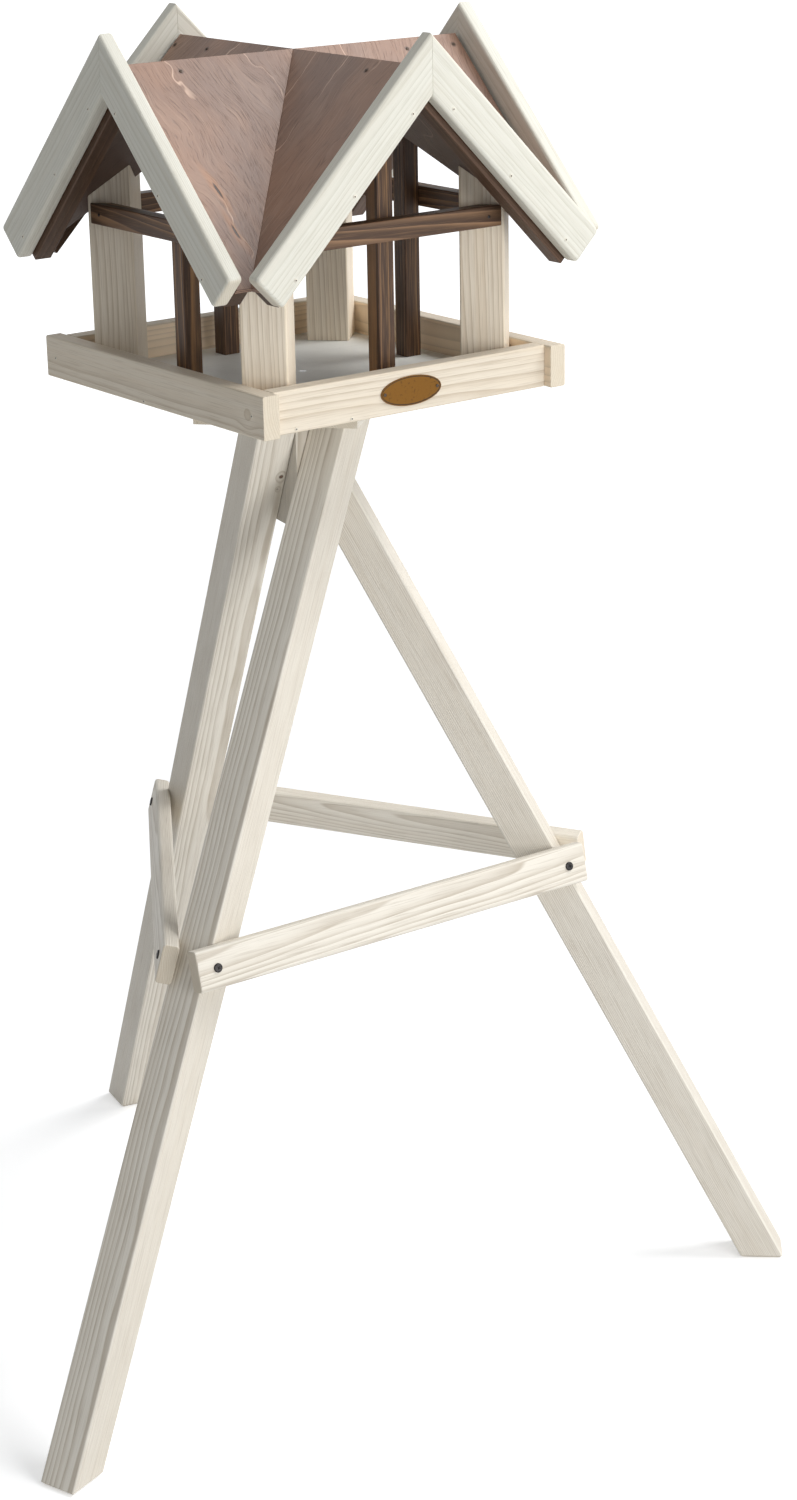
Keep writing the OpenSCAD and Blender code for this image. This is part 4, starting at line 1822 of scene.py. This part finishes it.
@dataclass
class Roof:
    """The plywood, the battens, the bargeboards and their nails.

    Attributes:
        house: Frame of the house.
        ridge: Height of the ridges.
        slope: Slope in degrees.
        ply: Thickness of the plywood.
        ply_reach: Distance of its gable edges from the house's middle.
        back: Distance of the bargeboards' backs from the house's middle.
        board: Thickness of the bargeboards.
        width: Width of the bargeboards.
        rise: Height of their top edges above the plywood, across the slope.
        board_edge: Radius of their long edges.
        board_corner: Radius of their lower corners.
        end: Distance of their lower ends from the ridge, down the slope.
        batten: Side of the battens.
        batten_setback: Distance that the battens and the plywood stop short of that.
        nail_steps: Places of the bargeboard nails, down from the top.
        nail_depth: Their distance under the plywood's face, across the slope.
        roof_nail_drop: Distance of the roof nails from the ridge, down the slope.
        roof_nail_stagger: Their shift along the ridge.
        roof_nail_places: Their distances from the house's middle.
        veins: Sideways drift of the plywood's figure, gable by gable and half by half.
        cracks: Two cracks in the plywood on the near slope of the left gable.
        panel_spare: Length that is sawn off a panel's blank past the ridge.
        panel_past: Length of the same blank past the house's middle.
        batten_spare: Length that is sawn off a batten's blank past the ridge.
        board_spare: Length that is sawn off a bargeboard's blank past the ridge.
        sawn: Radius at the sawn edges of plywood and battens.
        batten_edge: Radius of the battens' long edges.
    """

    house: Matrix
    ridge: float = 0.353
    slope: float = 45.0
    ply: float = 0.007
    ply_reach: float = 0.216
    back: float = 0.220
    board: float = 0.018
    width: float = 0.044
    rise: float = 0.023
    board_edge: float = 0.004
    board_corner: float = 0.005
    end: float = 0.286713
    batten: float = 0.020
    batten_setback: float = 0.004
    nail_steps: tuple[float, ...] = (0.072, 0.175856, 0.279713)
    nail_depth: float = 0.013
    roof_nail_drop: float = 0.015
    roof_nail_stagger: float = 0.003
    roof_nail_places: tuple[float, float] = (0.145, 0.208)
    veins: tuple[float, ...] = (0.1, -0.2, 0.35, -0.3, 0.2, 0.3, -0.15, -0.11)
    cracks: tuple[Knot, ...] = (
        Knot(Vector((0.1646, -0.1799, 0)), 0.0052, 0.95),
        Knot(Vector((0.2156, -0.1849, 0)), 0.0048, 0.95),
    )
    panel_spare: float = 0.02
    panel_past: float = 0.03
    batten_spare: float = 0.03
    board_spare: float = 0.035
    sawn: float = 0.0004
    batten_edge: float = 0.001

    def build(self) -> None:
        """Builds every slope of every gable, and the nails."""
        slopes = [self._slope(gable, half) for gable in Gable for half in Half]
        for slope, vein in zip(slopes, self.veins):
            self._panel(slope, vein)
            self._batten(slope)
            self._bargeboard(slope)
        self._nails(slopes)

    def _slope(self, gable: Gable, half: Half) -> Slope:
        """Finds the frames of a slope.

        Args:
            gable: The gable.
            half: Which of its slopes.

        Returns:
            The slope. The gable lies at -Y on the right half and at +Y on the left.
        """
        side = self.house @ turned(gable.value, "Z")
        about = turned(0 if half is Half.RIGHT else 180, "Z")
        frame = side @ moved(0, 0, self.ridge) @ about @ turned(self.slope, "Y")
        return Slope(gable, half, side, frame)

    def _panel(self, slope: Slope, vein: float) -> None:
        """Builds a plywood panel from the ridge to the valley.

        Args:
            slope: The slope.
            vein: Sideways drift of its figure.
        """
        low, high = slope.span(-self.panel_past, self.ply_reach)
        nails = tuple(
            Vector((self.roof_nail_drop, slope.out * place - self.roof_nail_stagger, 0))
            for place in self.roof_nail_places
        )
        near = (slope.gable, slope.half) == (Gable.LEFT, Half.RIGHT)
        grain = Grain(
            slope.frame,
            Vector((-self.panel_spare, low, -self.ply)),
            Vector((self.end - self.batten_setback, high, 0)),
            slope.seed(5.0),
            slant=vein,
            knots=self.cracks if near else (),
            nails=nails,
        )
        cuts = [slope.middle_cut, plane(slope.side, (0, 0, 0), (slope.half.value, 1, 0))]
        stick = Stick(f"roof_panel_{slope.name}", grain, 0.0, cuts, self.sawn)
        stick.build(PLYWOOD)

    def _batten(self, slope: Slope) -> None:
        """Builds the batten under a gable edge.

        Args:
            slope: The slope.
        """
        low, high = slope.span(self.back - self.batten, self.back)
        grain = Grain(
            slope.frame,
            Vector((-self.batten_spare, low, -self.ply - self.batten)),
            Vector((self.end - self.batten_setback, high, -self.ply)),
            slope.seed(3.0),
            pith=(0.02, 0.04),
        )
        cuts = [slope.middle_cut]
        stick = Stick(f"batten_{slope.name}", grain, self.batten_edge, cuts, self.sawn)
        stick.build(SMOOTH)

    def _bargeboard(self, slope: Slope) -> None:
        """Builds a bargeboard, rounded all round but for its mitre.

        Args:
            slope: The slope.
        """
        face = self.back + self.board
        low, high = slope.span(self.back, face)
        grain = Grain(
            slope.frame,
            Vector((-self.board_spare, low, self.rise - self.width)),
            Vector((self.end, high, self.rise)),
            slope.seed(1.0),
            pith=(0.08, 0.03),
            slant=0.008,
            nails=tuple(
                Vector((step - self.rise, slope.out * face, -self.nail_depth))
                for step in self.nail_steps
            ),
        )
        stick = Stick(f"bargeboard_{slope.name}", grain, 0.0, [slope.middle_cut])
        piece = stick.blank()
        crosswise = parallel_to(Vector((0, 1, 0)))
        piece.bevel(lambda e: crosswise(e) and e.verts[0].co.x > 0, self.board_corner)
        piece.bevel(self._on_face, self.board_edge)
        stick.build(BOARDS, stick.sawn(piece))

    @staticmethod
    def _on_face(edge: bmesh.types.BMEdge) -> bool:
        """Tells whether an edge bounds a bargeboard's front or back, but not at its top.

        Args:
            edge: The edge.

        Returns:
            True for the long edges and round the lower corners.
        """
        first, second = (vertex.co for vertex in edge.verts)
        normals = {tuple(round(c, 3) for c in face.normal) for face in edge.link_faces}
        return (
            abs(first.y - second.y) < NEAR
            and not (first.x < 0 and second.x < 0)
            and len(normals) == 2
            and any(abs(face.normal.y) > SQUARE for face in edge.link_faces)
        )

    def _nails(self, slopes: Sequence[Slope]) -> None:
        """Builds the nails of the bargeboards and of the plywood.

        Args:
            slopes: All slopes.
        """
        face = self.back + self.board
        boards, panels = [], []
        for slope in slopes:
            for step in self.nail_steps:
                at = moved(step - self.rise, slope.out * face, -self.nail_depth)
                boards.append(slope.frame @ at @ turned(-90 * slope.out, "X"))
            for place in self.roof_nail_places:
                along = slope.out * place - self.roof_nail_stagger
                panels.append(slope.frame @ moved(self.roof_nail_drop, along, 0))
        Nails("bargeboard_nails", boards, rim=GLAZE).build()
        Nails("roof_nails", panels).build()


@dataclass
class Stand:
    """The legs, the braces, the core block, the top plate and their screws.

    Attributes:
        stand: Frame of the stand, with its origin on the ground under its axis.
        nodes: The CAD nodes by name.
        level: Height of the tray's underside.
        leg: Side of the legs.
        reach: Distance of a leg's centre line from the axis at the ground.
        start: The same distance at the level of the tray.
        turn: Direction of the first leg in degrees.
        offset: Sideways distance of the legs' centre lines from the axis.
        edge: Radius of the legs' long edges.
        chamfer: Size of the chamfer round each foot.
        plate: Thickness of the top plate.
        plate_turn: Direction of the top plate's short side in degrees.
        brace_level: Height of the braces' middles.
        brace_width: Width of a brace, up its face.
        brace_thickness: Thickness of a brace.
        brace_overhang: Length of a brace past each seat.
        brace_tilt: Inward tilt of the braces' faces in degrees.
        seat: Depth of the flats that seat the braces.
        brace_edge: Radius of the braces' long edges.
        brace_ease: Radius at their ends.
        screw_inset: Distance of the brace screws from the ends of a brace.
        screw_turns: Turns of their recesses in degrees.
        spare: Length of a leg's blank past the ground.
        length: Length of the same blank above it.
        piths: Places of the pith of each leg.
        painted_light_tones: Factors on the colours of each brace; the back brace's is painted light
            on a face that is turned from the lamps.
        knots: Knots on each leg.
        seat_play: Length of a seat past each end of its brace.
        plate_half: Half of the top plate's length and width.
        core_half: Half of the core block's width.
        core_low: Height of its lower end.
        core_tone: Factor on its colours.
        legs: The legs' nodes.
        braces: The braces' nodes.
    """

    stand: Matrix
    nodes: Mapping[str, bpy.types.Object]
    level: float = 1.064
    leg: float = 0.045
    reach: float = 0.524
    start: float = -0.034
    turn: float = 199.0
    offset: float = 0.044
    edge: float = 0.0025
    chamfer: float = 0.004
    plate: float = 0.018
    plate_turn: float = -48.0
    brace_level: float = 0.503
    brace_width: float = 0.045
    brace_thickness: float = 0.018
    brace_overhang: float = 0.020
    brace_tilt: float = 15.0
    seat: float = 0.002
    brace_edge: float = 0.004
    brace_ease: float = 0.0015
    screw_inset: float = 0.024
    screw_turns: tuple[float, ...] = (12.0, 57.0, 33.0, 70.0, 5.0, 48.0)
    spare: float = 0.05
    length: float = 1.26
    piths: tuple[tuple[float, float], ...] = ((0.03, 0.13), (0.05, 0.12), (-0.02, 0.12))
    # The back brace's factor is painted light: it lightens a face that is turned from the lamps.
    painted_light_tones: tuple[float, ...] = (1.0, 1.14, 1.0)
    knots: tuple[tuple[Knot, ...], ...] = (
        (),
        (),
        (
            Knot(Vector((1.106, -0.0205, 0.0225)), 0.0022, 1.0),
            Knot(Vector((1.0884, -0.0191, 0.0225)), 0.0012, 0.5),
        ),
    )
    seat_play: float = 0.001
    plate_half: tuple[float, float] = (0.115, 0.088)
    core_half: float = 0.04
    core_low: float = 0.9
    core_tone: float = 0.82
    legs: tuple[str, ...] = ("leg_left", "leg_right", "leg_back")
    braces: tuple[str, ...] = ("brace_front", "brace_back", "brace_left")

    @property
    def lean(self) -> float:
        """Lean of the legs in degrees."""
        return math.degrees(math.atan((self.reach - self.start) / self.level))

    @property
    def half_level(self) -> float:
        """Half the width of a leg where it is cut level."""
        return self.leg / 2 / math.cos(math.radians(self.lean))

    def at_leg(self, k: int) -> Matrix:
        """Frame of the stand turned to a leg."""
        return self.stand @ turned(self.turn + 120 * k, "Z")

    def brace_seats(self) -> tuple[Vector, Vector]:
        """Finds where a brace meets the arrises of its two legs, seen from above.

        Returns:
            The two places in the frame of the first leg.
        """
        out = self.reach + (self.start - self.reach) * self.brace_level / self.level
        out += self.half_level
        near = Vector((out, self.offset + self.leg / 2))
        far = Matrix.Rotation(math.radians(120), 2) @ Vector((out, self.offset - self.leg / 2))
        return near, far

    def on_brace(self, k: int) -> Matrix:
        """Frame of a brace: X along it, Y out of its back face, Z up its face.

        Args:
            k: Number of the brace, which starts at the leg of the same number.

        Returns:
            The frame.
        """
        near, far = self.brace_seats()
        chord, middle = far - near, (near + far) / 2
        azimuth = math.degrees(math.atan2(chord.y, chord.x)) - 180
        return (
            self.at_leg(k)
            @ moved(middle.x, middle.y, self.brace_level)
            @ turned(azimuth, "Z")
            @ turned(self.brace_tilt, "X")
            @ moved(0, -self.seat, 0)
        )

    @property
    def brace_length(self) -> float:
        """Length of a brace."""
        near, far = self.brace_seats()
        return (far - near).length + 2 * self.brace_overhang

    def build(self) -> None:
        """Builds the legs, the braces and the screws, and dresses what stays."""
        for k in range(3):
            self._leg(k)
            self._brace(k)
        self._kept()
        self._screws()

    def _leg(self, k: int) -> None:
        """Builds a leg: level top and foot, chamfered foot and flats for two braces.

        Args:
            k: Number of the leg.
        """
        side = self.at_leg(k)
        lean = self.lean
        drop = self.chamfer * math.tan(math.radians(lean))
        frame = side @ moved(self.reach, self.offset, 0) @ turned(-lean, "Y") @ turned(-90, "Y")
        half = self.leg / 2
        grain = Grain(
            frame,
            Vector((-self.spare, -half, -half)),
            Vector((self.length, half, half)),
            2.0 + 3.3 * k,
            pith=self.piths[k],
            slant=0.004,
            knots=self.knots[k],
        )
        outer, inner = self.reach + self.half_level - drop, self.reach - self.half_level - drop
        cuts = [
            plane(side, (0, 0, 0), (0, 0, -1)),
            plane(side, (0, 0, self.level - self.plate), (0, 0, 1)),
            plane(side, (outer, 0, self.chamfer), (1, 0, -1)),
            plane(side, (inner, 0, self.chamfer), (-1, 0, -1)),
            plane(side, (0, self.offset + half, self.chamfer), (0, 1, -1)),
            plane(side, (0, self.offset - half, self.chamfer), (0, -1, -1)),
        ]
        stick = Stick(self.legs[k], grain, self.edge, cuts)
        piece = stick.model()
        reach, up = self.brace_length / 2 + self.seat_play, self.brace_width / 2
        far = Vector((reach, 2 * self.brace_thickness, up))
        for brace in (k, k - 1):
            cutter = Workpiece.block("seat", Vector((-reach, 0, -up)), far)
            piece.combine(cutter.place(self.on_brace(brace)))
        stick.build(STAND, piece)

    def _brace(self, k: int) -> None:
        """Builds a brace.

        Args:
            k: Number of the brace.
        """
        reach, up = self.brace_length / 2, self.brace_width / 2
        grain = Grain(
            self.on_brace(k),
            Vector((-reach, 0, -up)),
            Vector((reach, self.brace_thickness, up)),
            6.1 + 2.9 * k,
            pith=(-0.09, 0.02),
            slant=0.01,
            tone=self.painted_light_tones[k],
        )
        stick = Stick(self.braces[k], grain, self.brace_edge, ease=self.brace_ease)
        stick.build(STAND)

    def _kept(self) -> None:
        """Dresses the top plate, the core block and the hidden screws."""
        long, wide = self.plate_half
        plate = Grain(
            self.stand @ moved(0, 0, self.level - self.plate) @ turned(self.plate_turn + 90, "Z"),
            Vector((-long, -wide, 0)),
            Vector((long, wide, self.plate)),
            4.4,
            pith=(0.02, -0.08),
        )
        half = self.core_half
        core = Grain(
            self.stand @ turned(-90, "Y"),
            Vector((self.core_low, -half, -half)),
            Vector((self.level, half, half)),
            9.3,
            pith=(0.07, 0.05),
            tone=self.core_tone,
        )
        for node, grain in (("top_plate", plate), ("core_block", core)):
            dress(self.nodes[node], STAND.material(node, grain))
        for node in ("plate_screws", "core_screws"):
            dress(self.nodes[node], BRIGHT_SCREW.material(node))

    def _screws(self) -> None:
        """Builds the screws of the braces."""
        out = self.brace_length / 2 - self.screw_inset
        frames = [
            self.on_brace(k)
            @ moved(side * out, self.brace_thickness, 0)
            @ turned(-90, "X")
            @ turned(self.screw_turns[2 * k + (side > 0)], "Z")
            for k in range(3)
            for side in (-1, 1)
        ]
        BRACE_SCREW.build("brace_screws", frames)


# Studio


@dataclass(frozen=True)
class Lamp:
    """A square soft lamp.

    Attributes:
        name: Its name.
        towards: Direction from the point that it looks at to the lamp.
        power: Its power in watts.
        away: Its distance in metres.
        side: Its side in metres.
    """

    name: str
    towards: tuple[float, float, float]
    power: float
    away: float = 3.4
    side: float = 1.7

    def build(self, aim: Vector) -> None:
        """Adds the lamp.

        Args:
            aim: The point that it looks at.
        """
        place = aim + Vector(self.towards).normalized() * self.away
        bpy.ops.object.light_add(type="AREA", location=place)
        lamp = bpy.context.object
        lamp.name = self.name
        lamp.data.size = self.side
        lamp.data.energy = self.power
        lamp.rotation_mode = "QUATERNION"
        lamp.rotation_quaternion = (place - aim).to_track_quat("Z", "Y")


@dataclass
class Studio:
    """The floor, the light and the camera.

    Attributes:
        house: Origin of the house.
        focal: Focal length in the photograph's pixels.
        size: Width and height of the photograph in pixels.
        yaw: Direction of the view from +Y towards +X, in degrees.
        pitch: How far down it looks, in degrees.
        roll: Roll of the camera in degrees.
        aside: Sideways place of the house before the camera.
        above: Its height before the camera.
        away: Its distance along the view.
        sensor: Width of the sensor in millimetres.
        aim: Height of the point that the lamps look at.
        lamps: The lamps.
        soft: Linear colour of the light from all round.
        soft_light: Its strength.
        shade: Value of the floor's colour for light that bounces off it.
        shown: Value of the floor's colour where it is seen.
        glow: Strength of the floor's own light where it is seen, near the stand.
        glow_rise: How much stronger it is far off.
        glow_reach: Distances from the stand between which it rises.
        floor: Side of the floor.
        view_end: How far the camera sees.
    """

    house: Vector
    focal: float = 2941.403
    size: tuple[int, int] = (797, 1500)
    yaw: float = 36.873
    pitch: float = 19.382
    roll: float = -1.055
    aside: float = -0.104087
    above: float = -0.401878
    away: float = 3.197743
    sensor: float = 36.0
    aim: float = 0.9
    lamps: tuple[Lamp, ...] = (
        Lamp("key", (0.57, -0.33, 0.76), 79.0),
        Lamp("fill", (0.1, -0.98, 0.1), 48.0),
    )
    soft: tuple[float, float, float] = (0.95, 0.975, 1.0)
    soft_light: float = 0.38
    shade: float = 0.8
    shown: float = 0.9
    glow: float = 0.42
    glow_rise: float = 0.5
    glow_reach: tuple[float, float] = (1.2, 6.0)
    floor: float = 80.0
    view_end: float = 200.0

    def build(self) -> None:
        """Builds the camera, the floor, the lamps and the world."""
        bpy.context.scene.view_settings.view_transform = "Standard"
        self._camera()
        self._floor()
        self._world()
        for lamp in self.lamps:
            lamp.build(Vector((0, 0, self.aim)))

    def _camera(self) -> None:
        """Puts the camera where the photograph was taken from."""
        yaw, pitch, roll = (math.radians(a) for a in (self.yaw, self.pitch, self.roll))
        ahead = Vector(
            (math.sin(yaw) * math.cos(pitch), math.cos(yaw) * math.cos(pitch), -math.sin(pitch))
        )
        level = Vector((math.cos(yaw), -math.sin(yaw), 0))
        over = level.cross(ahead)
        right = math.cos(roll) * level + math.sin(roll) * over
        up = -math.sin(roll) * level + math.cos(roll) * over
        place = self.house - ahead * self.away - right * self.aside + up * self.above
        bpy.ops.object.camera_add()
        camera = bpy.context.object
        camera.name = "camera"
        turn = Matrix((right, up, -ahead)).transposed().to_4x4()
        camera.matrix_world = Matrix.Translation(place) @ turn
        camera.data.sensor_fit = "AUTO"
        camera.data.sensor_width = self.sensor
        camera.data.lens = self.focal * self.sensor / max(self.size)
        camera.data.clip_end = self.view_end
        bpy.context.scene.camera = camera

    def _floor(self) -> None:
        """Builds the plain pale floor."""
        choose()
        bpy.ops.mesh.primitive_plane_add(size=self.floor)
        floor = bpy.context.object
        floor.name = "floor"
        shader = Shader.named("studio_floor")
        seen = self._seen(shader)
        base, pale = (
            shader.node("BsdfDiffuse", {0: (value, value, value, 1.0)}).outputs[0]
            for value in (self.shade, self.shown)
        )
        away = shader.distance(shader.coordinates("Object"), (0, 0, 0)).rise(*self.glow_reach)
        strength = self.glow + self.glow_rise * away
        glow = shader.node("Emission", {0: (1.0, 1.0, 1.0, 1.0), 1: strength}).outputs[0]
        shown = shader.node("AddShader", {0: pale, 1: glow}).outputs[0]
        mixed = shader.node("MixShader", {0: seen, 1: base, 2: shown}).outputs[0]
        shader.node("OutputMaterial", {0: mixed})
        floor.data.materials.append(shader.owner)

    @staticmethod
    def _seen(shader: Shader) -> Number:
        """Tells rays that the camera sees directly, in metal or through glass.

        Args:
            shader: The shader that asks.

        Returns:
            1 for such rays and 0 for others.
        """
        path = shader.node("LightPath")
        camera, glossy, through = (
            Number(shader, path.outputs[name])
            for name in ("Is Camera Ray", "Is Glossy Ray", "Is Transmission Ray")
        )
        return camera.at_least(glossy).at_least(through)

    def _world(self) -> None:
        """Lights everything evenly, and shows white behind it."""
        world = bpy.data.worlds.new("studio")
        shader = Shader(world)
        soft, white = (
            shader.node("Background", {0: (*colour, 1.0), 1: strength}).outputs[0]
            for colour, strength in ((self.soft, self.soft_light), ((1.0, 1.0, 1.0), 1.0))
        )
        mixed = shader.node("MixShader", {0: self._seen(shader), 1: soft, 2: white}).outputs[0]
        shader.node("OutputWorld", {0: mixed})
        bpy.context.scene.world = world


def main() -> None:
    """Builds the sub-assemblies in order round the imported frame."""
    logging.basicConfig(level=logging.INFO, format="%(message)s")
    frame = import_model()
    floor_low, floor_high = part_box("floor_panel")
    plate_low, plate_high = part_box("top_plate")
    middle = (floor_low + floor_high) / 2
    axis = (plate_low + plate_high) / 2
    house = Matrix.Translation((middle.x, middle.y, floor_low.z))
    stand = Matrix.Translation((axis.x, axis.y, 0))
    for assembly in (
        Tray(house, frame["nodes"]),
        NamePlate(house),
        Frame(house),
        Roof(house),
        Stand(stand, frame["nodes"]),
        Studio(house.to_translation()),
    ):
        LOG.info("building the %s", type(assembly).__name__.lower())
        assembly.build()


if __name__ == "__main__":
    main()
